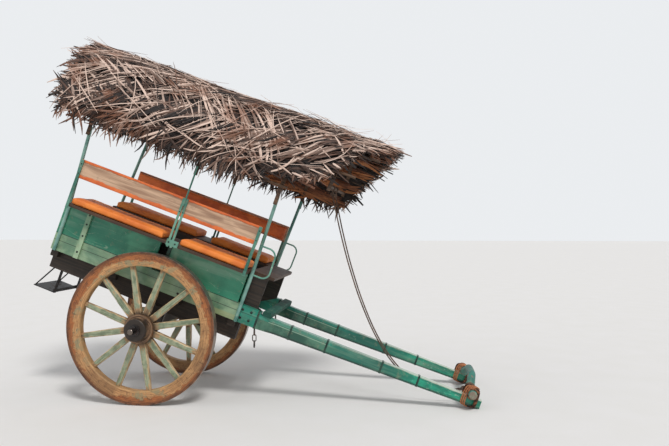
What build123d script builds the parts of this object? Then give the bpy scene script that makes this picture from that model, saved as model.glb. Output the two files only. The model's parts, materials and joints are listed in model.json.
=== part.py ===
from build123d import *
import math
import os

os.makedirs("parts", exist_ok=True)

# Millimetres. The cart is laid out level: x forward from the axle, y to its left, z up from the
# axle's centre. It is then drawn as it parks, nose down about the axle with the shaft tips on the
# ground. hands holds each side's name and the sign of its y.
hands = (("right", -1), ("left", 1))

# Wheels
wheel_radius = 610
track = 1180
rim_width = 75
tyre_thickness = 12
felloe_depth = 101
felloe_count = 6
felloe_joint = 1.2
felloe_chamfer = 7
spoke_count = 12
nave_radius = 115
nave_half = 58
nave_rim = 12
nave_groove = 4
nave_barrel_radius = 88
nave_barrel_half = 134
nave_neck_half = 92
nave_edge = 5
band_width = 24
band_thickness = 4
spoke_phase = {"right": 7.8, "left": 0.0}

# Spoke sections: how far out, from 0 at the nave to 1 at the rim, width round the wheel, depth across
# it, and the chamfer from there on
spoke_sections = (
    (-0.05, 52, 46, 4),
    (0.45, 50, 43, 9),
    (1.06, 41, 34, 9),
)

# Axle
arm_radius = 22
arm_clearance = 0.3
axle_square = 44
arm_past_pin = 74
linch_washer_radius = 46
linch_washer_thickness = 8
linch_play = 1
linch_pin_radius = 5
linch_pin_reach = 34
bed_width = 90
bed_top = 180
nave_gap = 16
bed_half = track / 2 - nave_barrel_half - nave_gap
clip_width = 40
clip_gap = 25
clip_thickness = 6

# Body frame
body_rear = -1000
body_front = 640
bearer_inset = 55
bearer_outer = bed_half - bearer_inset
bearer_width = 70
bearer_inner = bearer_outer - bearer_width
bearer_bottom = 140
bearer_front = 700
rail_bottom = 305
rail_top = 448
rail_inner = 408
rail_outer = 470
cross_at = (-970, -430, 150, 640)
cross_width = 60
cross_depth = 60
floor_thickness = 25
floor_board_count = 6
floor_board_gap = 3

# Shafts, each one beam with its rail
rail_end = 850
shaft_start = 1000
shaft_inner = 384
shaft_outer = 440
shaft_top = 425
shaft_root_bottom = 311
shaft_tip = 2715
shaft_tip_bottom = 356
shaft_bands_at = (835, 1120, 1430, 1895, 2200)
shaft_band_width = 16
shaft_band_thickness = 3
footrest_at = 862
footrest_width = 76
footrest_height = 40
footrest_round = 12

# Sides, seats and backs
panel_thickness = 22
panel_gap_rear = -125
panel_gap_front = -20
seat_height = 705
stile_at = -785
stile_width = 42
stile_thickness = 18
front_board_thickness = 22
seat_board_thickness = 25
seat_rear = -930
seat_front = 650
seat_inner = 250
seat_edge = 603
riser_thickness = 18
bench_front = 850
gusset_thickness = 20
gusset_front = 800
cushion_height = 55
cushion_gap_rear = -75
cushion_gap_front = 45
cushion_end = 12
cushion_round = 14
back_bottom = 950
back_top = 1100
back_depth = 55
back_board_thickness = 12
back_wrap = 24
back_skin = 4
back_skin_outer = 5
bar_thickness = 8
bar_drop = 15
mid_bar_at = (-21, 9)
mid_bar_width = 18
end_bar_width = 24
foot_plate_rear = -40
foot_plate_front = 60
foot_plate_drop = 3
foot_plate_height = 50

# Posts, rods and handles
post_radius = 14
post_front_at = 676
post_rear_at = -960
rod_radius = 7
rod_bottom = 1040
seat_gap = 0.3
handle_reach = 134
handle_height = 250
handle_radius = 7
handle_bend = 62
handle_seat = 1

# Roof
hoop_spring = 1370
hoop_foot = 1300
hoop_thickness = 8
hoop_width = 30
hoop_nose_at = 1030
hoop_nose_foot = 1545
lath_radius = 11
lath_angles = (-82, -56, -28, 0, 28, 56, 82)
lath_setback = 30
lath_past_post = 50
thatch_thickness = 78
thatch_step = 12
course_count = 6
eave_angle = 84
eave_front = 1050
eave_rear = -1250
ridge_front = 1440
ridge_rear = -1400
# The thatch is cut back on the right, over the way up to the driver's bench: points of the cut's edge,
# by x and height above the hoops' spring, and how far from the middle it starts
thatch_cut = ((450, 0), (540, 160), (850, 190), (1000, 290), (1080, 410), (1180, 560), (1390, 640))
thatch_cut_inner = 200
tie_bar_radius = 12.5
tie_bar_height = 1580

# Rear step
tread_front = -980
tread_rear = -1165
tread_half = 213
tread_level = -100
tread_thickness = 8
tread_lip = 22
hanger_width = 36
hanger_at = 200
brace_radius = 6

# Yoke and what hangs from it
yoke_at = 2620
yoke_radius = 33
yoke_half = 545
yoke_rise = 78
yoke_straight = 300
yoke_crown = 130
yoke_bend = 160
yoke_neck_radius = 31
yoke_neck = 40
yoke_end_round = 3
lash_width = 34
lash_thickness = 13
lash_reach = 62
lash_round = 12
link_wire = 7
link_length = 62
link_width = 36
link_count = 3
stay_width = 26
stay_thickness = 7
stay_at = -36

# Reins: rope hanging from the roof's tie bar to the yoke, with the y of each one's two ends. The
# route's points are in the parked frame: x forward and z up from the axle's centre.
rope_radius = 6
rein_wrap = 11
rein_stub_radius = 9.6
rein_y = {"right": (-330, -330), "left": (-95, -285)}
rein_route = (
    (1508, 1080), (1537, 942), (1566, 805), (1599, 668), (1634, 532), (1675, 397), (1718, 263),
    (1769, 131), (1824, 1), (1889, -124), (1964, -243), (2055, -352), (2163, -443), (2291, -503),
    (2430, -518), (2566, -479),
)

# Parking angle: the shaft tip's lower corner and the wheel's bottom are on one level
tip_distance = math.hypot(shaft_tip, shaft_tip_bottom)
tip_angle = math.atan2(shaft_tip_bottom, shaft_tip)
park = tip_angle + math.asin(wheel_radius / tip_distance)
forward = Vector(math.cos(park), 0, -math.sin(park))
leftward = Vector(0, 1, 0)
upward = Vector(math.sin(park), 0, math.cos(park))

# The origin is on the ground midway between the step's rear edge and the shaft tips
nose_reach = shaft_tip * math.cos(park) + shaft_top * math.sin(park)
rear_reach = tread_rear * math.cos(park) + (tread_level - tread_thickness) * math.sin(park)
axle_x = -(nose_reach + rear_reach) / 2
axle_centre = Vector(axle_x, 0, wheel_radius)


def place(x, y, z):
    """The parked position of a point of the level cart."""
    return axle_centre + forward * x + leftward * y + upward * z


def side(y):
    """Plane seen from the cart's right, at y: local x is forward and local y up."""
    return Plane(origin=place(0, y, 0), x_dir=forward, z_dir=-leftward)


def deck(z):
    """Plane seen from above, at z: local x is forward and local y to the left."""
    return Plane(origin=place(0, 0, z), x_dir=forward, z_dir=upward)


def across(x):
    """Plane seen from the front, at x: local x is to the left and local y up."""
    return Plane(origin=place(x, 0, 0), x_dir=leftward, z_dir=forward)


def block(x_span, y_span, z_span, mode=Mode.ADD):
    """A squared piece between two distances along, across and up the cart."""
    middle = [sum(span) / 2 for span in (x_span, y_span, z_span)]
    size = [abs(span[1] - span[0]) for span in (x_span, y_span, z_span)]
    with Locations(deck(0).location * Location(tuple(middle))):
        Box(*size, mode=mode)


def keep(piece, label):
    """Name a finished piece and write it out."""
    piece.part.label = label
    export_step(piece.part, f"parts/{label}.step")


# Wheels
rim_outer = wheel_radius - tyre_thickness
rim_inner = rim_outer - felloe_depth

# One spoke, as a tapered span between each two sections, chamfered along its corners
spoke_reach = rim_inner - nave_radius
spoke_spans = []
for (root, width, depth, corner), (tip, end_width, end_depth, _) in zip(spoke_sections, spoke_sections[1:]):
    start = nave_radius + root * spoke_reach
    end = nave_radius + tip * spoke_reach
    with BuildPart() as span:
        with BuildSketch(Plane.XY):
            Polygon(
                (start, width / 2), (end, end_width / 2), (end, -end_width / 2), (start, -width / 2),
                align=None,
            )
        extrude(amount=width, both=True)
        with BuildSketch(Plane.XZ):
            Polygon(
                (start, depth / 2), (end, end_depth / 2), (end, -end_depth / 2), (start, -depth / 2),
                align=None,
            )
        extrude(amount=width, both=True, mode=Mode.INTERSECT)
        chamfer(span.edges().filter_by(lambda edge: abs(edge.tangent_at(0.5).X) > 0.9), corner)
    spoke_spans.append(span.part)

for hand, sign in hands:
    centre = Vector(axle_x, sign * track / 2, wheel_radius)
    face = Plane(origin=centre, x_dir=(1, 0, 0), z_dir=(0, -1, 0))
    profile = Plane(origin=centre, x_dir=(0, 1, 0), z_dir=(1, 0, 0))
    hub_axis = Axis(centre, (0, 1, 0))
    phase = spoke_phase[hand]

    with BuildPart() as tyre:
        with BuildSketch(face):
            Circle(wheel_radius)
            Circle(rim_outer, mode=Mode.SUBTRACT)
        extrude(amount=rim_width / 2, both=True)
    keep(tyre, f"tyre_{hand}")

    # One ring of felloes, each carrying two spokes, with open joints between them
    with BuildPart() as felloes:
        with BuildSketch(face):
            Circle(rim_outer)
            Circle(rim_inner, mode=Mode.SUBTRACT)
        extrude(amount=rim_width / 2, both=True)
        chamfer(felloes.edges().filter_by(GeomType.CIRCLE).group_by(SortBy.RADIUS)[0], felloe_chamfer)
        with BuildSketch(face):
            with PolarLocations((rim_inner + rim_outer) / 2, felloe_count, phase):
                Rectangle(2 * felloe_depth, felloe_joint)
        extrude(amount=rim_width, both=True, mode=Mode.SUBTRACT)
    keep(felloes, f"felloes_{hand}")

    with BuildPart(face) as spokes:
        with PolarLocations(0, spoke_count, phase):
            add(spoke_spans)
        with BuildSketch(face):
            Circle(rim_inner)
            Circle(nave_radius, mode=Mode.SUBTRACT)
        extrude(amount=rim_width, both=True, mode=Mode.INTERSECT)
    keep(spokes, f"spokes_{hand}")

    # Turned nave: half its outline from the middle out, mirrored, round the axle's bore
    bore = arm_radius + arm_clearance
    rim_step = nave_radius - nave_rim
    half_nave = (
        (0, nave_radius), (nave_half, nave_radius), (nave_half, rim_step),
        (nave_half - nave_groove, rim_step), (nave_half - nave_groove, rim_step - nave_rim / 2),
        (nave_neck_half, nave_barrel_radius), (nave_barrel_half - nave_edge, nave_barrel_radius),
        (nave_barrel_half, nave_barrel_radius - nave_edge), (nave_barrel_half, bore), (0, bore),
    )
    with BuildPart() as nave:
        with BuildSketch(profile):
            with BuildLine():
                Polyline(*half_nave, close=True)
            make_face()
            mirror(about=Plane.YZ)
        revolve(axis=hub_axis)
    keep(nave, f"nave_{hand}")

    with BuildPart() as nave_bands:
        with BuildSketch(profile):
            with Locations(
                (nave_half - band_width / 2, nave_radius + band_thickness / 2),
                (band_width / 2 - nave_half, nave_radius + band_thickness / 2),
            ):
                Rectangle(band_width, band_thickness)
        revolve(axis=hub_axis)
    keep(nave_bands, f"nave_bands_{hand}")

# Axle: a square bar with a round arm through each nave, held by a washer and a linch pin
nave_outboard = track / 2 + nave_barrel_half
washer_face = nave_outboard + linch_play
pin_y = washer_face + linch_washer_thickness + linch_pin_radius
arm_end = pin_y + arm_past_pin
with BuildPart() as linch_pins:
    for sign in (-1, 1):
        with BuildSketch(side(max(sign * washer_face, sign * (washer_face + linch_washer_thickness)))):
            Circle(linch_washer_radius)
            Circle(arm_radius, mode=Mode.SUBTRACT)
        extrude(amount=linch_washer_thickness)
        with BuildSketch(deck(-linch_pin_reach)):
            with Locations((0, sign * pin_y)):
                Circle(linch_pin_radius)
        extrude(amount=2 * linch_pin_reach)
keep(linch_pins, "linch_pins")

with BuildPart() as axle_bar:
    block((-axle_square / 2, axle_square / 2), (-bed_half, bed_half), (-axle_square / 2, axle_square / 2))
    with BuildSketch(side(arm_end)):
        Circle(arm_radius)
    extrude(amount=2 * arm_end)
    chamfer(axle_bar.faces().sort_by(Axis.Y)[0].edges(), nave_edge)
    chamfer(axle_bar.faces().sort_by(Axis.Y)[-1].edges(), nave_edge)
    add(linch_pins.part, mode=Mode.SUBTRACT)
keep(axle_bar, "axle_bar")

with BuildPart() as axle_bed:
    block((-bed_width / 2, bed_width / 2), (-bed_half, bed_half), (0, bed_top))
    block((-axle_square / 2, axle_square / 2), (-bed_half, bed_half), (0, axle_square / 2), Mode.SUBTRACT)
keep(axle_bed, "axle_bed")

with BuildPart() as axle_clips:
    for sign in (-1, 1):
        clip_outer = bearer_inner - clip_gap
        clip_span = (sign * clip_outer, sign * (clip_outer - clip_width))
        half = bed_width / 2
        low = -axle_square / 2
        t = clip_thickness
        block((-half - t, half + t), clip_span, (low - t, bed_top + t))
        block((-half, half), clip_span, (low, bed_top), Mode.SUBTRACT)
keep(axle_clips, "axle_clips")

# Underframe
with BuildPart() as bearers:
    for sign in (-1, 1):
        block(
            (body_rear, bearer_front),
            (sign * bearer_inner, sign * bearer_outer),
            (bearer_bottom, rail_bottom),
        )
    block((-bed_width / 2, bed_width / 2), (-bed_half, bed_half), (bearer_bottom, bed_top), Mode.SUBTRACT)
    for x in cross_at:
        block(
            (x - cross_width / 2, x + cross_width / 2),
            (-shaft_outer, shaft_outer),
            (rail_bottom - cross_depth, rail_bottom),
            Mode.SUBTRACT,
        )
keep(bearers, "bearers")

with BuildPart() as cross_members:
    for x in cross_at:
        block(
            (x - cross_width / 2, x + cross_width / 2),
            (-shaft_outer, shaft_outer),
            (rail_bottom - cross_depth, rail_bottom),
        )
keep(cross_members, "cross_members")

floor_top = rail_bottom + floor_thickness
board_width = (2 * rail_inner - (floor_board_count - 1) * floor_board_gap) / floor_board_count
with BuildPart() as floor_boards:
    for i in range(floor_board_count):
        start = -rail_inner + i * (board_width + floor_board_gap)
        block((body_rear, body_front), (start, start + board_width), (rail_bottom, floor_top))
keep(floor_boards, "floor_boards")

# Shafts
shafts = {}
for hand, sign in hands:
    with BuildPart() as shaft:
        with BuildSketch(side(max(sign * rail_outer, sign * shaft_inner))):
            with BuildLine():
                Polyline(
                    (body_rear, rail_bottom), (rail_end, rail_bottom), (shaft_start, shaft_root_bottom),
                    (shaft_tip, shaft_tip_bottom), (shaft_tip, shaft_top), (rail_end, shaft_top),
                    (rail_end, rail_top), (body_rear, rail_top),
                    close=True,
                )
            make_face()
        extrude(amount=rail_outer - shaft_inner)
        with BuildSketch(deck(0)):
            with BuildLine():
                Polyline(
                    (body_rear, sign * rail_outer), (rail_end, sign * rail_outer),
                    (shaft_start, sign * shaft_outer), (shaft_tip, sign * shaft_outer),
                    (shaft_tip, sign * shaft_inner), (shaft_start, sign * shaft_inner),
                    (rail_end, sign * rail_inner), (body_rear, sign * rail_inner),
                    close=True,
                )
            make_face()
        extrude(amount=2 * rail_top, mode=Mode.INTERSECT)
    shafts[hand] = shaft.part
    keep(shaft, f"shaft_{hand}")

with BuildPart() as shaft_bands:
    for hand, sign in hands:
        for x in shaft_bands_at:
            on_rail = x < rail_end
            t = shaft_band_thickness
            inner, outer = (rail_inner, rail_outer) if on_rail else (shaft_inner, shaft_outer)
            top = rail_top if on_rail else shaft_top
            along = max(0, x + shaft_band_width - shaft_start) / (shaft_tip - shaft_start)
            root = rail_bottom if on_rail else shaft_root_bottom
            bottom = root + (0 if on_rail else along * (shaft_tip_bottom - shaft_root_bottom))
            block(
                (x - shaft_band_width / 2, x + shaft_band_width / 2),
                (sign * (inner - t), sign * (outer + t)),
                (bottom - t, top + t),
            )
        add(shafts[hand], mode=Mode.SUBTRACT)
keep(shaft_bands, "shaft_bands")

with BuildPart() as footrest_beam:
    block(
        (footrest_at, footrest_at + footrest_width),
        (-rail_outer, rail_outer),
        (shaft_top, shaft_top + footrest_height),
    )
    top_face = footrest_beam.faces().sort_by(Axis(axle_centre, upward))[-1]
    fillet(top_face.edges().filter_by(Axis.Y), footrest_round)
keep(footrest_beam, "footrest_beam")

# Sides
for hand, sign in hands:
    panel_inner = rail_outer - panel_thickness
    with BuildPart() as side_panel:
        for x_span in ((body_rear, panel_gap_rear), (panel_gap_front, body_front)):
            block(x_span, (sign * panel_inner, sign * rail_outer), (rail_top, seat_height))
    keep(side_panel, f"side_panel_{hand}")

with BuildPart() as side_stiles:
    for sign in (-1, 1):
        block(
            (stile_at, stile_at + stile_width),
            (sign * rail_outer, sign * (rail_outer + stile_thickness)),
            (rail_bottom, seat_height),
        )
keep(side_stiles, "side_stiles")

# Stay irons from under the seat, down the gap in the side, in to the axle bed's ends
with BuildPart() as stay_straps:
    for sign in (-1, 1):
        with BuildSketch(across(stay_at - stay_width / 2)):
            with BuildLine():
                Polyline(
                    (sign * rail_outer, seat_height), (sign * rail_outer, rail_bottom),
                    (sign * bed_half, bed_top), (sign * bed_half, bed_top / 2),
                    (sign * (bed_half + stay_thickness), bed_top / 2),
                    (sign * (bed_half + stay_thickness), bed_top),
                    (sign * (rail_outer + stay_thickness), rail_bottom),
                    (sign * (rail_outer + stay_thickness), seat_height),
                    close=True,
                )
            make_face()
        extrude(amount=stay_width)
keep(stay_straps, "stay_straps")

with BuildPart() as front_board:
    block(
        (body_front, body_front + front_board_thickness),
        (-rail_inner, rail_inner),
        (rail_bottom, seat_height),
    )
keep(front_board, "front_board")

# Seats
seat_top = seat_height + seat_board_thickness
with BuildPart() as seat_risers:
    for sign in (-1, 1):
        block(
            (seat_rear, body_front),
            (sign * seat_inner, sign * (seat_inner + riser_thickness)),
            (floor_top, seat_height),
        )
keep(seat_risers, "seat_risers")

for hand, sign in hands:
    with BuildPart() as seat_board:
        block((seat_rear, seat_front), (sign * seat_inner, sign * seat_edge), (seat_height, seat_top))
    keep(seat_board, f"seat_board_{hand}")

    with BuildPart() as seat_cushion:
        for x_span in (
            (seat_rear + cushion_end, cushion_gap_rear), (cushion_gap_front, seat_front - cushion_end),
        ):
            block(x_span, (sign * seat_inner, sign * seat_edge), (seat_top, seat_top + cushion_height))
        fillet(seat_cushion.edges().filter_by(Axis((0, 0, 0), upward)), cushion_round)
    keep(seat_cushion, f"seat_cushion_{hand}")

with BuildPart() as driver_bench:
    block((seat_front, bench_front), (-rail_inner, rail_inner), (seat_height, seat_top))
keep(driver_bench, "driver_bench")

with BuildPart() as bench_gussets:
    for sign in (-1, 1):
        inner = rail_inner - gusset_thickness
        with BuildSketch(side(max(sign * rail_inner, sign * inner))):
            with BuildLine():
                Polyline(
                    (body_front + front_board_thickness, rail_bottom + cross_depth),
                    (body_front + front_board_thickness, seat_height), (gusset_front, seat_height),
                    (gusset_front, rail_top),
                    close=True,
                )
            make_face()
        extrude(amount=gusset_thickness)
keep(bench_gussets, "bench_gussets")

# Backs: a plywood board held in a padded wrap that is open to the outside
for hand, sign in hands:
    wrap_inner = seat_edge - back_skin_outer
    board_inner = wrap_inner - back_board_thickness
    with BuildPart() as backrest_board:
        block(
            (seat_rear, seat_front),
            (sign * board_inner, sign * wrap_inner),
            (back_bottom + back_skin, back_top - back_skin),
        )
    keep(backrest_board, f"backrest_board_{hand}")

    with BuildPart() as backrest_pad:
        block((seat_rear, seat_front), (sign * (seat_edge - back_depth), sign * seat_edge),
              (back_bottom, back_top))
        block((seat_rear, seat_front), (sign * board_inner, sign * wrap_inner),
              (back_bottom + back_skin, back_top - back_skin), Mode.SUBTRACT)
        block((seat_rear, seat_front), (sign * wrap_inner, sign * seat_edge),
              (back_bottom + back_wrap, back_top - back_wrap), Mode.SUBTRACT)
    keep(backrest_pad, f"backrest_pad_{hand}")

# Bars that hold the backs to the seats' edges, and the thin rods up to the roof's middle hoop
rod_at = sum(mid_bar_at) / 2
rod_y = seat_edge + seat_gap + rod_radius
bar_foot = seat_height - bar_drop
plate_foot = seat_height - foot_plate_drop
with BuildPart() as backrest_bars:
    for sign in (-1, 1):
        bar_span = (sign * seat_edge, sign * (seat_edge + bar_thickness))
        for x in mid_bar_at:
            block((x - mid_bar_width / 2, x + mid_bar_width / 2), bar_span, (bar_foot, back_top))
        block((seat_rear, seat_rear + end_bar_width), bar_span, (bar_foot, back_top))
        block((seat_front - end_bar_width, seat_front), bar_span, (bar_foot, back_top))
        block((foot_plate_rear, foot_plate_front), bar_span, (plate_foot, plate_foot + foot_plate_height))
        with BuildSketch(deck(rod_bottom)):
            with Locations((rod_at, sign * rod_y)):
                Circle(rod_radius)
        extrude(amount=hoop_spring - rod_bottom)
keep(backrest_bars, "backrest_bars")

# Roof posts: up the side, then leaning out to the hoops
post_y = rail_outer + post_radius + seat_gap
hoop_inner = seat_edge - hoop_thickness
post_head = hoop_inner - post_radius - 2 * seat_gap
with BuildPart() as roof_posts:
    for sign in (-1, 1):
        for x in (post_rear_at, post_front_at):
            with BuildLine(across(x)):
                FilletPolyline(
                    (sign * post_y, rail_bottom), (sign * post_y, seat_height),
                    (sign * post_head, hoop_spring),
                    radius=12 * post_radius,
                )
            with BuildSketch(deck(rail_bottom)):
                with Locations((x, sign * post_y)):
                    Circle(post_radius)
            sweep()
keep(roof_posts, "roof_posts")

lean = math.atan2(post_head - post_y, hoop_spring - seat_height)
with BuildPart() as grab_handles:
    for sign in (-1, 1):
        lean_up = upward * math.cos(lean) + leftward * (sign * math.sin(lean))
        handle_plane = Plane(
            origin=place(post_front_at, sign * post_y, seat_height),
            x_dir=forward,
            z_dir=forward.cross(lean_up),
        )
        root = post_radius - handle_seat
        start = handle_plane.from_local_coords(Vector(root, 0, 0))
        with BuildLine(handle_plane):
            FilletPolyline(
                (root, 0), (handle_reach, 0), (handle_reach, handle_height), (root, handle_height),
                radius=handle_bend,
            )
        with BuildSketch(Plane(origin=start, x_dir=leftward, z_dir=forward)):
            Circle(handle_radius)
        sweep()
    add(roof_posts.part, mode=Mode.SUBTRACT)
keep(grab_handles, "grab_handles")


# Roof
def hoop_face(reach):
    """Outline of an arch whose legs stand at plus and minus reach, closed by the foot line."""
    Line((-reach, hoop_foot), (-reach, hoop_spring))
    ThreePointArc((-reach, hoop_spring), (0, hoop_spring + reach), (reach, hoop_spring))
    Line((reach, hoop_spring), (reach, hoop_foot))
    Line((reach, hoop_foot), (-reach, hoop_foot))


with BuildPart() as roof_hoops:
    for x in (post_rear_at, rod_at, post_front_at, hoop_nose_at):
        with BuildSketch(across(x - hoop_width / 2)):
            with BuildLine():
                hoop_face(seat_edge)
            make_face()
            with BuildLine():
                hoop_face(hoop_inner)
            make_face(mode=Mode.SUBTRACT)
        extrude(amount=hoop_width)
    # The nose hoop stands on no posts: it ends just below the tie bar that holds its ends together
    nose_span = (hoop_nose_at - hoop_width, hoop_nose_at + hoop_width)
    block(nose_span, (-2 * seat_edge, 2 * seat_edge), (hoop_foot - 1, hoop_nose_foot), mode=Mode.SUBTRACT)
keep(roof_hoops, "roof_hoops")

lath_ring = seat_edge + lath_radius
thatch_inner = seat_edge + 2 * lath_radius
eave_level = hoop_spring + thatch_inner * math.cos(math.radians(eave_angle))
ridge_level = hoop_spring + thatch_inner + thatch_thickness


def roof_end(eave, ridge, z):
    """How far forward the roof's slanted end is at height z."""
    return eave + (ridge - eave) * (z - eave_level) / (ridge_level - eave_level)


with BuildPart() as roof_laths:
    for angle in lath_angles:
        y = lath_ring * math.sin(math.radians(angle))
        z = hoop_spring + lath_ring * math.cos(math.radians(angle))
        rear = roof_end(eave_rear, ridge_rear, z) + lath_setback
        front = roof_end(eave_front, ridge_front, z) - lath_setback
        if y < 0 and z < hoop_nose_foot:
            front = post_front_at + lath_past_post
        with BuildSketch(across(rear)):
            with Locations((y, z)):
                Circle(lath_radius)
        extrude(amount=front - rear)
keep(roof_laths, "roof_laths")

# Thatch: courses lapped from the eaves to the ridge, each lower edge standing proud
course_span = eave_angle / course_count
thatch_outer = thatch_inner + thatch_thickness


def polar(radius, angle):
    """A point of the roof's cross-section, by its distance and angle from the crown."""
    turn = math.radians(angle)
    return (radius * math.sin(turn), hoop_spring + radius * math.cos(turn))


left_courses = []
for course in range(course_count):
    angle = eave_angle - course * course_span
    left_courses += [polar(thatch_outer + thatch_step, angle), polar(thatch_outer, angle - course_span)]
right_courses = [(-y, z) for y, z in reversed(left_courses[:-1])]

with BuildPart() as thatch_roof:
    with BuildSketch(across(ridge_rear)):
        with BuildLine():
            Polyline(
                polar(thatch_inner, eave_angle), *left_courses, *right_courses,
                polar(thatch_inner, -eave_angle),
            )
            ThreePointArc(
                polar(thatch_inner, -eave_angle), polar(thatch_inner, 0), polar(thatch_inner, eave_angle),
            )
        make_face()
    extrude(amount=ridge_front - ridge_rear)
    overhang = 2 * thatch_inner
    low = eave_level - thatch_thickness
    with BuildSketch(side(overhang)):
        with BuildLine():
            Polyline(
                (roof_end(eave_rear, ridge_rear, low), low), (roof_end(eave_front, ridge_front, low), low),
                (ridge_front, ridge_level), (ridge_front, ridge_level + thatch_step),
                (ridge_rear, ridge_level + thatch_step), (ridge_rear, ridge_level),
                close=True,
            )
        make_face()
    extrude(amount=2 * overhang, mode=Mode.INTERSECT)
    with BuildSketch(side(-thatch_cut_inner)):
        with BuildLine():
            Polyline(
                *[(x, hoop_spring + height) for x, height in thatch_cut],
                (ridge_front, hoop_spring + thatch_cut[-1][1]), (ridge_front, low), (thatch_cut[0][0], low),
                close=True,
            )
        make_face()
    extrude(amount=overhang, mode=Mode.SUBTRACT)
keep(thatch_roof, "thatch_roof")

with BuildPart() as roof_tie_bar:
    with BuildSketch(side(seat_edge)):
        with Locations((hoop_nose_at, tie_bar_height)):
            Circle(tie_bar_radius)
    extrude(amount=2 * seat_edge)
    with BuildSketch(across(hoop_nose_at - hoop_width)):
        with Locations((0, hoop_spring)):
            Circle(hoop_inner)
    extrude(amount=2 * hoop_width, mode=Mode.INTERSECT)
keep(roof_tie_bar, "roof_tie_bar")

# Rear step
with BuildPart() as step_tread:
    block((tread_rear, tread_front), (-tread_half, tread_half), (tread_level - tread_thickness, tread_level))
    block((tread_front, tread_front + tread_thickness), (-tread_half, tread_half),
          (tread_level - tread_thickness, tread_level + tread_lip))
keep(step_tread, "step_tread")

hanger_top = rail_bottom - cross_depth
with BuildPart() as step_hangers:
    for sign in (-1, 1):
        hanger_y = (sign * hanger_at - hanger_width / 2, sign * hanger_at + hanger_width / 2)
        block((tread_front + tread_thickness, tread_front + 2 * tread_thickness), hanger_y,
              (tread_level - tread_thickness, hanger_top))
        foot = Vector(tread_rear + 2 * brace_radius, sign * (tread_half - brace_radius), tread_level)
        head = Vector(tread_front + tread_thickness, sign * hanger_at, hanger_top - 4 * brace_radius)
        with BuildLine():
            Line(place(*foot), place(*head))
        with BuildSketch(Plane(origin=place(*foot), z_dir=place(*head) - place(*foot))):
            Circle(brace_radius)
        sweep()
    add(step_tread.part, mode=Mode.SUBTRACT)
keep(step_hangers, "step_hangers")

# Yoke: a bowed pole lying on both shafts, its ends turned down a little where a harness loop goes
yoke_level = shaft_top + yoke_radius + seat_gap / 2
yoke_points = [(-yoke_half, 0), (-yoke_straight, 0), (-yoke_crown, yoke_rise)]
yoke_points += [(-y, z) for y, z in reversed(yoke_points)]
with BuildPart() as yoke:
    with BuildLine(across(yoke_at)):
        FilletPolyline(*[(y, yoke_level + z) for y, z in yoke_points], radius=yoke_bend)
    with BuildSketch(Plane(origin=place(yoke_at, -yoke_half, yoke_level), x_dir=forward, z_dir=leftward)):
        Circle(yoke_radius)
    sweep()
    for sign in (-1, 1):
        neck_start = place(yoke_at, sign * (yoke_half - yoke_neck), yoke_level)
        with BuildSketch(Plane(origin=neck_start, x_dir=forward, z_dir=leftward * sign)):
            Circle(2 * yoke_radius)
            Circle(yoke_neck_radius, mode=Mode.SUBTRACT)
        extrude(amount=yoke_neck, mode=Mode.SUBTRACT)
    for end in (0, -1):
        chamfer(yoke.faces().sort_by(Axis.Y)[end].edges(), yoke_end_round)
keep(yoke, "yoke")

# Lashings: two flat rope bands crossing over the yoke and under the shaft
lash_low = shaft_tip_bottom - (shaft_tip - yoke_at) / (shaft_tip - shaft_start) * (
    shaft_tip_bottom - shaft_root_bottom
)
lash_high = yoke_level + yoke_radius
lash_y = (shaft_inner + shaft_outer) / 2
for hand, sign in hands:
    with BuildPart() as lashing:
        for turn in (-1, 1):
            along = (forward + leftward * turn).normalized()
            middle = place(yoke_at, sign * lash_y, (lash_low + lash_high) / 2)
            band = Plane(origin=middle, x_dir=along, z_dir=along.cross(upward))
            height = lash_high - lash_low
            with BuildSketch(band):
                RectangleRounded(
                    2 * (lash_reach + lash_thickness), height + 2 * lash_thickness,
                    lash_round + lash_thickness,
                )
                RectangleRounded(2 * lash_reach, height, lash_round, mode=Mode.SUBTRACT)
            extrude(amount=lash_width / 2, both=True)
        add(shafts[hand], mode=Mode.SUBTRACT)
        add(yoke.part, mode=Mode.SUBTRACT)
    keep(lashing, f"yoke_lashing_{hand}")

# Chains under the rails' front straps, hanging plumb
with BuildPart() as shaft_chains:
    for sign in (-1, 1):
        strap_y = sign * (rail_inner + rail_outer) / 2
        top = place(shaft_bands_at[0], strap_y, rail_bottom - shaft_band_thickness)
        for link in range(link_count):
            turned = link % 2
            drop = link_length / 2 + link * (link_length - 2 * link_wire + 1)
            link_plane = Plane(
                origin=top - Vector(0, 0, drop),
                x_dir=(0, 0, -1),
                z_dir=(0, 1, 0) if turned else (1, 0, 0),
            )
            with BuildSketch(link_plane):
                SlotOverall(link_length, link_width)
                SlotOverall(link_length - 2 * link_wire, link_width - 2 * link_wire, mode=Mode.SUBTRACT)
            extrude(amount=link_wire / 2, both=True)
    for hand, sign in hands:
        add(shafts[hand], mode=Mode.SUBTRACT)
    add(shaft_bands.part, mode=Mode.SUBTRACT)
keep(shaft_chains, "shaft_chains")

# Reins: each hangs between a ring of rope round the tie bar and one round the yoke. A ring has a
# short stub in line with the rein, out to where it starts.
rein_points = {}
for hand, (first_y, last_y) in rein_y.items():
    drift = (last_y - first_y) / (len(rein_route) - 1)
    rein_points[hand] = [
        axle_centre + Vector(x, first_y + i * drift, z) for i, (x, z) in enumerate(rein_route)
    ]

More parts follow.
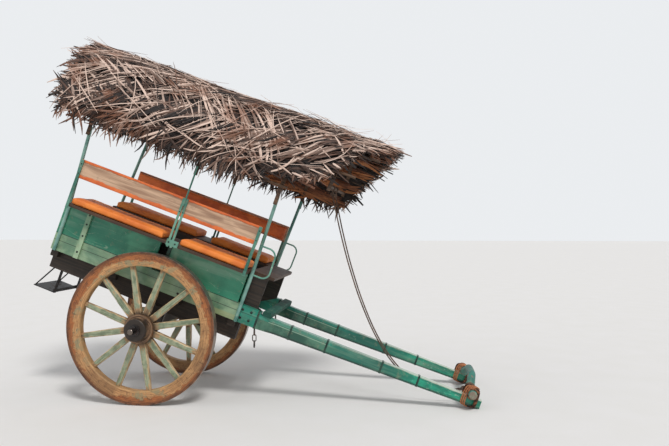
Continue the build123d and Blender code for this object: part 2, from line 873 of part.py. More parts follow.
with BuildPart() as rein_ties:
    for points in rein_points.values():
        for centre, radius, (end, after) in (
            (place(hoop_nose_at, 0, tie_bar_height), tie_bar_radius, points[:2]),
            (place(yoke_at, 0, yoke_level), yoke_radius, points[:-3:-1]),
        ):
            back = (end - after).normalized()
            ring_centre = Vector(centre.X, end.Y, centre.Z)
            with BuildSketch(Plane(origin=ring_centre, x_dir=forward, z_dir=-leftward)):
                Circle(radius + rein_wrap)
                Circle(radius, mode=Mode.SUBTRACT)
            extrude(amount=rein_wrap, both=True)
            with BuildSketch(Plane(origin=end, z_dir=back)):
                Circle(rein_stub_radius)
            extrude(amount=(ring_centre - end).dot(back))
    add(roof_tie_bar.part, mode=Mode.SUBTRACT)
    add(yoke.part, mode=Mode.SUBTRACT)
keep(rein_ties, "rein_ties")

for hand, points in rein_points.items():
    radii = []
    for before, here, after in zip(points, points[1:], points[2:]):
        turn = math.radians((here - before).get_angle(after - here))
        run = min((here - before).length, (after - here).length)
        radii.append(0.45 * run / math.tan(turn / 2))
    with BuildPart() as rein:
        with BuildLine():
            FilletPolyline(*points, radius=radii)
        with BuildSketch(Plane(origin=points[0], z_dir=points[1] - points[0])):
            Circle(rope_radius)
        sweep()
    route_length = rein.part.volume / (math.pi * rope_radius ** 2)
    print(f"rein_{hand} length {route_length:.0f} smallest radius {min(radii):.0f}")
    keep(rein, f"rein_{hand}")
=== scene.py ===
"""Dresses the bullock cart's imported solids: rope, palm thatch, vinyl seats, worn paint, wood and iron.

Sizes are in metres. The cart stands nose down, so most pieces are laid out in its own level frame,
which is x forward from the axle, y to the left and z up, and are then turned into the row frame.
"""
import json
import math

import bpy
import numpy as np
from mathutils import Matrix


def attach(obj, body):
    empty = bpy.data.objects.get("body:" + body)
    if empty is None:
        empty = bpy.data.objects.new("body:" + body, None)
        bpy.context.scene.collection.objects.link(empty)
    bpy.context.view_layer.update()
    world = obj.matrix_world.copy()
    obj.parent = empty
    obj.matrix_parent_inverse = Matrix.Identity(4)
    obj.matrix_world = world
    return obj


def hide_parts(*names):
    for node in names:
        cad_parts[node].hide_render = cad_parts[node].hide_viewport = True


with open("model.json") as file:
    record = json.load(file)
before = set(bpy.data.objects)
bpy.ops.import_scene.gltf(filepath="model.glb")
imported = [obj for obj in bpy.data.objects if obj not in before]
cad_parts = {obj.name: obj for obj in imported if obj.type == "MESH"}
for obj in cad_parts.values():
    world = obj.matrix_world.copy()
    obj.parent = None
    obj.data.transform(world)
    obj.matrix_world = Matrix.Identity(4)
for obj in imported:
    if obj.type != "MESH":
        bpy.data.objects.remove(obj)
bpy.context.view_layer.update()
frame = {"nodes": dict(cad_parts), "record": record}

# The level frame, read from the floor's mount and the wheels' joint
floor_mount = next(m for m in frame["record"]["mounts"] if m["name"] == "load_floor")
wheel_joint = frame["record"]["behaviour"]["joints"][0]
up = np.array(floor_mount["axis"]) / np.linalg.norm(floor_mount["axis"])
forward = np.array((up[2], 0, -up[0]))
leftward = np.array((0.0, 1.0, 0.0))
axle = np.array(wheel_joint["pos_m"]) * (1, 0, 1)
park = math.atan2(up[0], up[2])
plumb = np.array((up[0], 0, -up[2]))

# Camera: the photograph's direction, a little further back because the cart stands nose down
camera_from_axle = (2.116, -5.75, 0.816)
camera_yaw = math.radians(6.2)
camera_pitch = math.radians(0.26)
camera_lens = 36.05
camera_film = 36

# Half the floor's side
floor_half = 60.0

# Wheels, shafts and rails, as in the part's source
tyre_radius = 0.610
rim_outer = 0.598
rim_inner = 0.497
nave_radius = 0.115
spoke_count = 12
spoke_turn = math.radians(7.8)
shaft_top = 0.425
band_first = 0.835
band_third = 1.430
rail_top = 0.448
rail_end = 0.850

# Reins: the route's points as in the part's source, in metres, x and z from the axle's centre, with
# the y of each rein's two ends
rope_radius = 0.006
rope_pitch = 0.042
# A rope's radius over its strands', where three of them just touch
strand_ratio = 2.155
rein_y = {"right": (-0.330, -0.330), "left": (-0.095, -0.285)}
rein_route = (
    (1.508, 1.080), (1.537, 0.942), (1.566, 0.805), (1.599, 0.668), (1.634, 0.532), (1.675, 0.397),
    (1.718, 0.263), (1.769, 0.131), (1.824, 0.001), (1.889, -0.124), (1.964, -0.243), (2.055, -0.352),
    (2.163, -0.443), (2.291, -0.503), (2.430, -0.518), (2.566, -0.479),
)
tie_bar_at = (1.030, 1.580)
tie_bar_radius = 0.0125
tie_pitch = 0.0112
yoke_at = (2.620, 0.45815)
yoke_radius = 0.033
yoke_half = 0.545

# Lashings
lash_y = 0.412
lash_low = 0.3535
lash_high = 0.4912
lash_reach = 0.062
lash_rope = 0.0060
lash_coil = (0.446, 0.503)
# The two crossed windings: way, height over the lower one, turns, step in rope radii, and tone; the lower
# winding's dark tone is painted shade between the upper turns
lash_windings = ((-1, 0.0, 4, 2.3, 0.1), (1, 0.004, 3, 3.7, 0.9))

# Roof
hoop_spring = 1.370
thatch_inner = 0.625
thatch_outer = 0.703
eave_angle = math.radians(84)
eave_ends = np.array((-1.250, 1.050))
ridge_ends = np.array((-1.400, 1.440))
# The right side is cut back in front: x, and height above the hoops' spring, along the cut's edge
cut_x = np.array((0.450, 0.540, 0.850, 1.000, 1.080, 1.180, 1.390))
cut_height = np.array((0.0, 0.160, 0.190, 0.290, 0.410, 0.560, 0.640))

# Seats and backs
seat_edge = 0.603
seat_inner = 0.250
seat_rear = -0.930
seat_front = 0.650
cushion_low = 0.730
cushion_high = 0.785
cushion_runs = ((-0.918, -0.075), (0.045, 0.638))
back_bottom = 0.950
back_top = 1.100
back_inner = 0.548
board_inner = 0.586
wrap_inner = 0.598
pad_pressure = 4
cloth_steps = 20


# ---------------------------------------------------------------- places and meshes
def place(points):
    """Row-frame points for level-frame ones: the axle's centre plus x forward, y left and z up."""
    p = np.asarray(points, float)
    return axle + p[..., :1] * forward + p[..., 1:2] * leftward + p[..., 2:] * up


def unit(vectors):
    """The vectors, each divided by its length."""
    return vectors / np.maximum(np.linalg.norm(vectors, axis=-1, keepdims=True), 1e-9)


def distances(paths):
    """How far along each path its points are, from 0."""
    steps = np.linalg.norm(np.diff(paths, axis=-2), axis=-1)
    return np.concatenate((np.zeros(steps.shape[:-1] + (1,)), np.cumsum(steps, axis=-1)), axis=-1)


def resampled(path, step):
    """The same line with points spaced evenly, about a step apart."""
    along = distances(path)
    even = np.linspace(0, along[-1], max(2, round(along[-1] / step)))
    return np.stack([np.interp(even, along, path[:, axis]) for axis in range(3)], -1)


def grid(rows, columns):
    """Quads between rings of points: they are numbered ring by ring, and each ring closes on itself."""
    i = np.arange(rows - 1)[:, None]
    j = np.arange(columns)[None, :]
    next_i, next_j = i + 1, (j + 1) % columns
    corners = (i * columns + j, i * columns + next_j, next_i * columns + next_j, next_i * columns + j)
    return np.stack(np.broadcast_arrays(*corners), -1).reshape(-1, 4)


def swept(paths, normals, profile):
    """Closed solids whose profile is carried along paths: point = path + a across + b normal.

    paths and normals are (m, n, 3); profile is (k, 2) or (m, n, k, 2), running round so that the
    normal is to the left of across. Returns points, faces and the faces' uv, where u runs round the
    profile and v is the distance along the path.
    """
    m, n = paths.shape[:2]
    tangent = unit(np.gradient(paths, axis=1))
    normal = unit(normals - (normals * tangent).sum(-1, keepdims=True) * tangent)
    across = np.cross(normal, tangent)
    profile = np.broadcast_to(profile, (m, n) + np.shape(profile)[-2:])
    k = profile.shape[2]
    points = paths[:, :, None] + profile[..., :1] * across[:, :, None] + profile[..., 1:] * normal[:, :, None]
    first = (np.arange(m) * n * k)[:, None, None]
    ring = np.arange(k)
    ends = np.stack((ring[::-1], ring + (n - 1) * k))
    faces = [(grid(n, k) + first).reshape(-1, 4), (ends + first).reshape(-1, k)]
    row, column = np.divmod(np.arange((n - 1) * k), k)
    u = (column[:, None] + np.array((0, 1, 1, 0))) / k
    v = distances(paths)[:, row[:, None] + np.array((0, 0, 1, 1))]
    quad_uv = np.stack((np.broadcast_to(u, v.shape), v), -1).reshape(-1, 2)
    end_uv = np.repeat(distances(paths)[:, (0, -1)].reshape(-1), k)
    return points.reshape(-1, 3), faces, np.concatenate((quad_uv, np.stack((end_uv * 0, end_uv), -1)))


def circle(radius, sides):
    """A round profile, point j at angle 2 pi j / sides."""
    turn = np.arange(sides) * 2 * math.pi / sides
    return radius * np.stack((np.cos(turn), np.sin(turn)), -1)


def joined(*solids):
    """Several (points, faces, uv) made into one."""
    points, quads, ends, uvs, end_uvs, count = [], [], [], [], [], 0
    for solid_points, (solid_quads, solid_ends), uv in solids:
        points.append(solid_points)
        quads.append(solid_quads + count)
        ends.append(solid_ends + count)
        uvs.append(uv[: solid_quads.size])
        end_uvs.append(uv[solid_quads.size:])
        count += len(solid_points)
    faces = [np.concatenate(quads), np.concatenate(ends)]
    return np.concatenate(points), faces, np.concatenate(uvs + end_uvs)


def mesh_points(mesh):
    """Where a mesh's points are, as an array."""
    points = np.zeros(len(mesh.vertices) * 3)
    mesh.vertices.foreach_get("co", points)
    return points.reshape(-1, 3)


def added(name, data):
    """A new object in the scene."""
    made = bpy.data.objects.new(name, data)
    bpy.context.scene.collection.objects.link(made)
    return made


def piece(name, points, faces, material, uvs=None, tone=None, smooth=True):
    """A mesh of row-frame points and arrays of faces, as an object that rides on the cart."""
    mesh = bpy.data.meshes.new(name)
    face_list = [face for block in faces for face in block.tolist()]
    mesh.from_pydata(np.asarray(points).reshape(-1, 3).tolist(), [], face_list)
    mesh.polygons.foreach_set("use_smooth", np.full(len(mesh.polygons), smooth))
    if uvs is not None:
        mesh.uv_layers.new(name="along").data.foreach_set("uv", uvs.ravel())
    if tone is not None:
        mesh.attributes.new("tone", "FLOAT", "POINT").data.foreach_set("value", tone.ravel())
    mesh.materials.append(material)
    made = added(name, mesh)
    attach(made, "cart")
    return made


# ---------------------------------------------------------------- paints
def screen(red, green, blue):
    """A colour as a screen shows it, turned into the linear values that a shader takes."""
    linear = [c / 12.92 if c <= 0.04045 else ((c + 0.055) / 1.055) ** 2.4 for c in (red, green, blue)]
    return (*linear, 1.0)


def math_node(operation, swapped=False):
    """A signal's method that adds a Math node, with the signal first or, where swapped, last."""
    def method(self, *others):
        values = (*others, self) if swapped else (self, *others)
        return self.paint.node("ShaderNodeMath", {"operation": operation}, dict(enumerate(values)))
    return method


class Signal:
    """A number that changes over a surface. Arithmetic on it adds Math nodes to its paint."""

    def __init__(self, paint, socket):
        self.paint = paint
        self.socket = socket

    __add__ = __radd__ = math_node("ADD")
    __mul__ = __rmul__ = math_node("MULTIPLY")
    __sub__ = math_node("SUBTRACT")
    __rsub__ = math_node("SUBTRACT", swapped=True)
    __truediv__ = math_node("DIVIDE")
    __or__ = math_node("MAXIMUM")
    __abs__ = math_node("ABSOLUTE")
    sine = math_node("SINE")
    root = math_node("SQRT")
    direction = math_node("ARCTAN2")
    ping_pong = math_node("PINGPONG")
    below = math_node("LESS_THAN")

    def rise(self, low, high):
        """0 below low and 1 above high, smooth between; falling where low is the larger."""
        ends = {"Value": self, "From Min": low, "From Max": high}
        return self.paint.node("ShaderNodeMapRange", {"interpolation_type": "SMOOTHSTEP"}, ends)


class Paint:
    """A material's nodes. Its patterns read level coordinates, a wheel's, or a piece's own uv and tone."""

    def __init__(self, name):
        self.material = bpy.data.materials.new(name)
        self.material.use_nodes = True
        self.tree = self.material.node_tree
        self.shader = self.tree.nodes["Principled BSDF"]

    def node(self, kind, settings=(), inputs=(), output=0):
        """Adds a node: its settings first, then the values or signals of its sockets."""
        made = self.tree.nodes.new(kind)
        for key, value in dict(settings).items():
            setattr(made, key, value)
        for key, value in dict(inputs).items():
            self.feed(made.inputs[key], value)
        return Signal(self, made.outputs[output])

    def feed(self, socket, value):
        if isinstance(value, Signal):
            self.tree.links.new(value.socket, socket)
        else:
            socket.default_value = value

    def level(self):
        """Level coordinates: Object ones turned back by the parking angle about the axle."""
        turned = np.array((forward @ axle, 0, up @ axle))
        where = self.node("ShaderNodeTexCoord", output="Object")
        moves = {"Vector": where, "Rotation": (0, -park, 0), "Location": tuple(-turned)}
        return self.node("ShaderNodeMapping", {}, moves)

    def wheel(self):
        """Coordinates from the wheels' centre line."""
        where = self.node("ShaderNodeTexCoord", output="Object")
        return self.node("ShaderNodeMapping", {}, {"Vector": where, "Location": tuple(-axle)})

    def along(self):
        """A piece's uv: u round its profile and v the distance along it."""
        return self.node("ShaderNodeUVMap", {"uv_map": "along"})

    def tone(self):
        """A piece's own tone, about 0 for dark and 1 for bright."""
        return self.node("ShaderNodeAttribute", {"attribute_name": "tone"}, {}, "Fac")

    def stretched(self, where, *scale):
        return self.node("ShaderNodeMapping", {}, {"Vector": where, "Scale": scale})

    def part(self, where, axis):
        return self.node("ShaderNodeSeparateXYZ", {}, {0: where}, axis)

    def polar(self, where, around, outward):
        """Wood grain on a wheel: the direction from its centre times around, the radius times outward."""
        x, y, z = (self.part(where, axis) for axis in "XYZ")
        radius = self.radius(where)
        across = {"X": x / radius * around, "Y": radius * outward + y * 40.0, "Z": z / radius * around}
        return self.node("ShaderNodeCombineXYZ", {}, across)

    def radius(self, where):
        x, z = (self.part(where, axis) for axis in "XZ")
        return (x * x + z * z).root()

    def noise(self, where, scale, detail=3.0, rough=0.5, twist=0.0):
        inputs = {"Vector": where, "Scale": scale, "Detail": detail, "Roughness": rough, "Distortion": twist}
        return self.node("ShaderNodeTexNoise", {}, inputs)

    def cells(self, where, scale):
        """How far a point is from the middle of the nearest of many small cells."""
        return self.node("ShaderNodeTexVoronoi", {}, {"Vector": where, "Scale": scale}, "Distance")

    def mix(self, share, under, over):
        """A colour: under where share is 0, over where it is 1. Plain colours are given as on a screen."""
        under, over = (c if isinstance(c, Signal) else screen(*c) for c in (under, over))
        return self.node("ShaderNodeMix", {"data_type": "RGBA"}, {0: share, 6: under, 7: over}, 2)

    def layers(self, colour, *coats):
        """Coats laid over a colour in turn, each a share and its colour."""
        for share, coat in coats:
            colour = self.mix(share, colour, coat)
        return colour

    def scratches(self, where, scale, width, twist):
        """Thin curved lines: 1 where a slow noise is within a width of its middle value."""
        return abs(self.noise(where, scale, 1.0, 0.4, twist) - 0.5).rise(width, width * 0.3)

    def finish(self, colour, roughness, height=None, depth=0.001, **constants):
        """Wires the shader: colour, roughness, a bump of the given depth in metres, and constants."""
        self.feed(self.shader.inputs["Base Color"], colour)
        self.feed(self.shader.inputs["Roughness"], roughness)
        if height is not None:
            bump = self.node("ShaderNodeBump", {}, {"Strength": 1.0, "Distance": depth, "Height": height})
            self.feed(self.shader.inputs["Normal"], bump)
        for key, value in constants.items():
            self.feed(self.shader.inputs[key.replace("_", " ").title()], value)
        return self.material


def old_paint(name, light, deep, bare, grain, chips=0.62, gloss=0.36, scuff=0.5, coat=0.15, colour_at=None):
    """Old oil paint on wood: light and deep patches, pale scuffs and scratches, chips to the bare wood, dust.

    grain is how the wood's pattern is stretched along x, y and z. Chips are fewer where chips is higher.
    """
    paint = Paint(name)
    where = paint.level()
    fibres = paint.noise(paint.stretched(where, *grain), 1.0, 5.0, 0.6)
    patches = paint.noise(where, 4.5, 4.0, 0.6, 0.4)
    colour = paint.mix(patches.rise(0.36, 0.64), deep, light)
    if colour_at:
        colour = colour_at(paint, where, colour, patches)
    dust = paint.noise(where, 17.0, 5.0, 0.65)
    brushed = paint.noise(paint.stretched(where, *[1 + 0.22 * scale for scale in grain]), 1.0, 4.0, 0.6)
    marks = paint.scratches(paint.stretched(where, 0.3, 1.0, 1.8), 6.0, 0.0035, 0.3)
    chipped = (paint.noise(where, 26.0, 6.0, 0.7) * 0.6 + fibres * 0.4).rise(chips, chips + 0.03)
    colour = paint.layers(
        colour,
        (dust.rise(0.54, 0.74) * 0.4, (0.56, 0.52, 0.42)),
        (fibres.rise(0.56, 0.75) * 0.35, (0.10, 0.17, 0.13)),
        (brushed.rise(0.50, 0.72) * scuff, (0.52, 0.66, 0.56)),
        (marks * dust.rise(0.42, 0.60) * scuff, (0.72, 0.78, 0.68)),
        (chipped, bare),
    )
    height = fibres * 0.5 - chipped * 0.5 + patches * 0.4
    return paint.finish(colour, dust * 0.35 + gloss + chipped * 0.3, height, 0.0012, coat_weight=coat)


def bare_timber(name, light, deep, grain, gloss=0.75):
    """Unpainted timber: streaks along the grain, and darker, greyer patches."""
    paint = Paint(name)
    where = paint.level()
    fibres = paint.noise(paint.stretched(where, *grain), 1.0, 6.0, 0.65)
    patches = paint.noise(where, 6.0, 4.0, 0.6)
    colour = paint.mix(fibres.rise(0.35, 0.68), deep, light)
    colour = paint.mix(patches.rise(0.45, 0.7) * 0.5, colour, (0.16, 0.13, 0.11))
    return paint.finish(colour, patches * 0.2 + gloss - 0.1, fibres, 0.0015)


def iron(name, light, deep, rust, gloss=0.45, metal=0.5, polish_and_highlight_past=None):
    """Forged iron: a dark skin and rust in patches; further out from the middle than a width, polished ends
    lightened as a painted highlight.
    """
    paint = Paint(name)
    where = paint.level()
    patches = paint.noise(where, 14.0, 5.0, 0.65)
    pits = paint.noise(where, 120.0, 3.0, 0.6)
    rusty = (patches * 0.6 + pits * 0.4).rise(0.52, 0.62)
    colour = paint.mix(rusty, paint.mix(patches.rise(0.35, 0.6), deep, light), rust)
    if polish_and_highlight_past:
        ends = abs(paint.part(where, "Y")).rise(polish_and_highlight_past, polish_and_highlight_past + 0.004)
        # Painted highlight: the axle's ends are lightened, as well as polished
        colour = paint.mix(ends, colour, (0.44, 0.40, 0.37))
    return paint.finish(colour, rusty * 0.35 + gloss, pits + patches, 0.0007, metallic=metal)


def felloe_paint():
    """The rim: bare tan wood, rust-stained towards the tyre, grain along the rim, dirt and green smears."""
    paint = Paint("felloe wood")
    where = paint.wheel()
    radius = paint.radius(where)
    fibres = paint.noise(paint.polar(where, 7.0, 170.0), 1.0, 5.0, 0.6)
    patches = paint.noise(where, 13.0, 6.0, 0.7, 0.6)
    broad = paint.noise(where, 2.6, 3.0, 0.55)
    smears = paint.noise(where, 7.0, 6.0, 0.7, 0.5).rise(0.53, 0.60) * broad.rise(0.40, 0.56)
    ragged = radius + (patches - 0.5) * 0.10 + (broad - 0.5) * 0.16 + (fibres - 0.5) * 0.04
    outer = ragged.rise(rim_outer - 0.037, rim_outer - 0.030)
    rust = paint.mix((fibres * 0.5 + patches * 0.5).rise(0.38, 0.60), (0.40, 0.21, 0.11), (0.66, 0.39, 0.20))
    lip = (radius + (patches - 0.5) * 0.05).rise(rim_outer - 0.013, rim_outer - 0.006)
    dark = paint.noise(paint.polar(where, 30.0, 30.0), 1.0, 6.0, 0.75).rise(0.55, 0.64)
    colour = paint.layers(
        paint.mix(fibres.rise(0.3, 0.7), (0.58, 0.41, 0.26), (0.82, 0.62, 0.41)),
        (smears * 0.7, (0.49, 0.51, 0.40)),
        (outer * 0.92, rust),
        (lip * 0.6, (0.30, 0.17, 0.10)),
        (dark * 0.6, (0.24, 0.16, 0.10)),
        (broad.rise(0.50, 0.36) * 0.5, (0.33, 0.23, 0.15)),
        (radius.rise(rim_inner + 0.015, rim_inner + 0.009) * 0.4, (0.72, 0.57, 0.38)),
    )
    return paint.finish(colour, patches * 0.25 + 0.5, fibres * 0.6 - outer * 0.3 - dark * 0.4, 0.002)


def spoke_paint():
    """Spokes: grey sage paint on their faces, rubbed to bare wood along their edges and at both ends. The
    edges' cream is partly a painted highlight.

    beside is how far a point is from its spoke's middle line, and is set against half a spoke's width.
    """
    paint = Paint("spoke wood")
    where = paint.wheel()
    radius = paint.radius(where)
    fibres = paint.noise(paint.polar(where, 45.0, 5.0), 1.0, 5.0, 0.6)
    patches = paint.noise(where, 15.0, 5.0, 0.65)
    at_rim = radius.rise(rim_inner - 0.057, rim_inner + 0.003)
    at_nave = radius.rise(nave_radius + 0.075, nave_radius + 0.025)
    worn = (patches * 0.55 + fibres * 0.45 + (at_rim | at_nave) * 0.13).rise(0.56, 0.60)
    grain = fibres.rise(0.35, 0.65)
    x, y, z = (paint.part(where, axis) for axis in "XYZ")
    turned = z.direction(x) - y.below(0.0) * spoke_turn
    beside = turned.ping_pong(math.pi / spoke_count) * radius
    half_width = 0.0306 - radius * 0.02
    rubbed = (beside / half_width + (patches - 0.5) * 0.9).rise(0.70, 0.86)
    dirt = paint.noise(where, 6.0, 4.0, 0.6).rise(0.52, 0.66)
    colour = paint.layers(
        paint.mix((patches * 0.5 + fibres * 0.5).rise(0.37, 0.60), (0.40, 0.45, 0.35), (0.63, 0.66, 0.54)),
        (worn, paint.mix(grain, (0.42, 0.31, 0.20), (0.72, 0.58, 0.42))),
        # Partly painted highlight: the rubbed edges' bare wood is lightened to cream
        (rubbed * 0.85, paint.mix(grain, bare_wood, (0.86, 0.75, 0.58))),
        (dirt * 0.35, (0.26, 0.24, 0.18)),
        (radius.rise(nave_radius + 0.035, nave_radius - 0.003) * 0.8, (0.17, 0.13, 0.10)),
    )
    return paint.finish(colour, worn * 0.25 + 0.42, fibres - worn * 0.3, 0.0012, coat_weight=0.1)


def nave_paint():
    """The nave: brown turned wood, greasy black over most of its face."""
    paint = Paint("nave wood")
    where = paint.wheel()
    patches = paint.noise(where, 18.0, 5.0, 0.65)
    rings = paint.noise(paint.polar(where, 1.5, 260.0), 1.0, 4.0, 0.6)
    wood = paint.mix(rings.rise(0.35, 0.65), (0.34, 0.25, 0.19), (0.58, 0.46, 0.35))
    ragged = paint.radius(where) + (patches - 0.5) * 0.05
    grease = ragged.rise(nave_radius - 0.015, nave_radius - 0.029)
    colour = paint.mix(grease * 0.93, wood, (0.09, 0.065, 0.05))
    return paint.finish(colour, 0.66 - grease * 0.16, rings, 0.001)


def tyre_paint():
    """The tyre: brown iron, its tread rubbed bright."""
    paint = Paint("tyre iron")
    where = paint.wheel()
    patches = paint.noise(where, 16.0, 5.0, 0.65)
    ragged = paint.radius(where) + (patches - 0.5) * 0.003
    rubbed = ragged.rise(tyre_radius - 0.0015, tyre_radius - 0.0003)
    colour = paint.mix(patches.rise(0.4, 0.62), (0.30, 0.20, 0.15), (0.50, 0.33, 0.22))
    colour = paint.mix(rubbed * 0.75, colour, (0.66, 0.62, 0.58))
    return paint.finish(colour, 0.62 - rubbed * 0.25, patches, 0.0006, metallic=rubbed * 0.6 + 0.25)


def shaft_colour(paint, where, colour, patches):
    """The beams, from the rear: sage rails, olive low down in front; teal from the rail's block on.

    Past the first band the teal is dull, under a brighter strip that a dark and a pale line part from it.
    Then it deepens, and near the tip it is mottled emerald with pale flecks. The top edge is worn white
    towards the tip, the bottom edge is painted dark as shade, and a dark joint runs along the rail.
    """
    x = paint.part(where, "X")
    z = paint.part(where, "Z")
    soft = patches.rise(0.38, 0.62)
    rail = paint.mix(soft, (0.36, 0.50, 0.39), (0.55, 0.66, 0.52))
    rail = paint.mix(z.rise(0.352, 0.342) * x.rise(0.05, 0.50) * 0.65, rail, (0.62, 0.65, 0.46))
    dull = paint.mix(soft, (0.10, 0.29, 0.23), (0.30, 0.46, 0.37))
    below_strip = x.rise(band_first, band_first + 0.005) * x.rise(1.85, 1.25) * z.rise(0.394, 0.388)
    strip = x.rise(0.925, 0.935) * x.rise(band_third + 0.002, band_third - 0.002)
    mottle = paint.noise(paint.stretched(where, 0.5, 1.0, 1.6), 14.0, 5.0, 0.65, 0.4).rise(0.40, 0.62)
    flecks = paint.noise(paint.stretched(where, 0.6, 1.0, 2.0), 60.0, 5.0, 0.7).rise(0.60, 0.66)
    top_edge = (z + (patches - 0.5) * 0.03).rise(shaft_top - 0.011, shaft_top - 0.004) * x.rise(1.0, 1.05)
    shaded_bottom_edge = (z - x * 0.026).rise(0.306, 0.294) * x.rise(0.9, 0.95)
    joint = abs(z - 0.392).rise(0.004, 0.001) * x.rise(rail_end + 0.010, rail_end + 0.005)
    return paint.layers(
        paint.mix(x.rise(0.655, 0.66) | z.rise(0.30, 0.29), rail, colour),
        (below_strip * 0.92, dull),
        (strip * z.rise(0.394, 0.398) * 0.7, (0.13, 0.47, 0.40)),
        (strip * abs(z - 0.396).rise(0.004, 0.0015) * 0.85, (0.02, 0.10, 0.09)),
        (strip * abs(z - 0.390).rise(0.004, 0.002) * 0.6, (0.62, 0.76, 0.66)),
        (x.rise(1.40, 1.55) * x.rise(2.10, 1.85) * 0.6, (0.0, 0.33, 0.28)),
        (x.rise(1.95, 2.25) * 0.85, paint.mix(mottle, (0.0, 0.45, 0.36), (0.10, 0.64, 0.50))),
        (flecks * x.rise(2.0, 2.4) * 0.7, (0.80, 0.87, 0.80)),
        (top_edge * (x.rise(1.2, 2.6) * 0.6 + 0.15), (0.86, 0.87, 0.80)),
        # Painted shade: the beams' bottom edge is darkened nearly black
        (shaded_bottom_edge * 0.75, (0.02, 0.12, 0.10)),
        (joint * 0.8, (0.08, 0.13, 0.10)),
    )


def yoke_colour(paint, where, colour, patches):
    """The yoke's sawn ends are bare grey-brown wood with rings."""
    x, y, z = (paint.part(where, axis) for axis in "XYZ")
    x, z = x - yoke_at[0], z - yoke_at[1]
    rings = ((x * x + z * z).root() * 1400.0 + patches * 6.0).sine() * 0.5 + 0.5
    wood = paint.mix(rings, (0.38, 0.32, 0.27), (0.60, 0.54, 0.47))
    return paint.mix(abs(y).rise(yoke_half - 0.004, yoke_half - 0.0025), colour, wood)


def panel_colour(paint, where, colour, patches):
    """The panels: faded behind the wheel's top and by the middle post, dark where the rail shades them."""
    x = paint.part(where, "X") + (patches - 0.5) * 0.7
    shaded = paint.part(where, "Z").rise(rail_top + 0.010, rail_top + 0.002)
    faded = paint.mix(patches.rise(0.40, 0.60), (0.30, 0.56, 0.44), (0.50, 0.68, 0.55))
    return paint.layers(
        colour,
        (x.rise(-0.20, 0.0) * x.rise(0.48, 0.12) * 0.85, faded),
        (x.rise(-0.35, -0.55) * 0.6, (0.03, 0.42, 0.32)),
        (x.rise(0.35, 0.60) * 0.5, (0.04, 0.50, 0.38)),
        (shaded * 0.85, (0.04, 0.09, 0.07)),
    )


def vinyl_paint(name, light, deep):
    """Seat vinyl: a fine grain, soft creases darkened as painted shade, faded patches and stains."""
    paint = Paint(name)
    where = paint.level()
    patches = paint.noise(where, 5.0, 4.0, 0.6)
    creases = paint.noise(paint.stretched(where, 1.2, 5.0, 5.0), 6.0, 3.0, 0.55, 0.8)
    stain = paint.noise(where, 21.0, 5.0, 0.7).rise(0.6, 0.75)
    colour = paint.layers(
        paint.mix(patches.rise(0.35, 0.65), deep, light),
        # Painted shade: darker along the creases
        (creases.rise(0.6, 0.72) * 0.3, (0.45, 0.20, 0.08)),
        (stain * 0.25, (0.30, 0.17, 0.10)),
    )
    return paint.finish(colour, patches * 0.2 + 0.50, creases + paint.cells(where, 420.0) * 0.06, 0.003)


def ply_paint():
    """Backrest plywood: tan-grey face veneer, long streaks, water stains."""
    paint = Paint("back ply")
    where = paint.level()
    fibres = paint.noise(paint.stretched(where, 3.0, 90.0, 90.0), 1.0, 6.0, 0.6)
    flame = paint.noise(paint.stretched(where, 1.5, 14.0, 14.0), 1.0, 3.0, 0.5, 1.5)
    stain = paint.noise(where, 9.0, 5.0, 0.7).rise(0.58, 0.72)
    colour = paint.layers(
        paint.mix(flame.rise(0.35, 0.65), (0.64, 0.50, 0.40), (0.82, 0.68, 0.56)),
        (fibres.rise(0.45, 0.70) * 0.45, (0.44, 0.33, 0.25)),
        (stain * 0.35, (0.35, 0.27, 0.20)),
    )
    return paint.finish(colour, flame * 0.2 + 0.5, fibres, 0.0008)


def leaf_paint(name, dark, middle, bright, warm_leaf):
    """Dry palm leaf: each strip's own tone, streaks along it, and browner patches of the roof."""
    paint = Paint(name)
    tone = paint.tone()
    streaks = paint.noise(paint.stretched(paint.along(), 14.0, 9.0, 1.0), 1.0, 4.0, 0.6)
    where = paint.level()
    # The bed's and the underlayer's tones are set dark: painted shade between the upper strips
    lit = tone + (streaks - 0.5) * 0.4 + (paint.noise(where, 2.6, 3.0, 0.6) - 0.5) * 0.35
    warm = paint.noise(where, 3.7, 4.0, 0.65).rise(0.50, 0.62) * 0.6
    colour = paint.layers(
        paint.mix(lit.rise(0.02, 0.5), dark, middle),
        (lit.rise(0.42, 0.80), bright),
        (warm * tone.rise(-0.1, 0.3), warm_leaf),
    )
    return paint.finish(colour, 0.72 - lit * 0.15, streaks, 0.0012)


def rope_paint(name, light, deep, mottle=9.0, toned=0.0):
    """Rope: yarns that wind round each strand, painted shade in the grooves between them, loose fibre and
    dirt, and a share of the rope's own tone.
    """
    paint = Paint(name)
    along = paint.along()
    u, v = (paint.part(along, axis) for axis in "XY")
    yarns = ((u * 5.0 + v * 90.0) * (2 * math.pi)).sine() * 0.5 + 0.5
    where = paint.level()
    patches = paint.noise(where, mottle, 4.0, 0.65)
    if toned:
        patches = patches + (paint.tone() - 0.5) * toned
    fuzz = paint.noise(where, 700.0, 2.0, 0.6)
    colour = paint.mix(patches.rise(0.35, 0.65), deep, light)
    # Painted shade: darker in the grooves between the yarns, with loose fibre
    colour = paint.mix((1 - yarns) * 0.35 + fuzz * 0.2, colour, (0.16, 0.10, 0.07))
    return paint.finish(colour, 0.85, yarns + fuzz * 0.5, 0.0006)


# How timber grain is stretched that runs along x, along y and along z
along_x = (2.5, 70.0, 70.0)
along_y = (70.0, 2.5, 70.0)
along_z = (70.0, 70.0, 2.5)
bare_wood = (0.62, 0.47, 0.32)
rusted = (0.24, 0.16, 0.12)
rubbed_steel = (0.30, 0.22, 0.16)

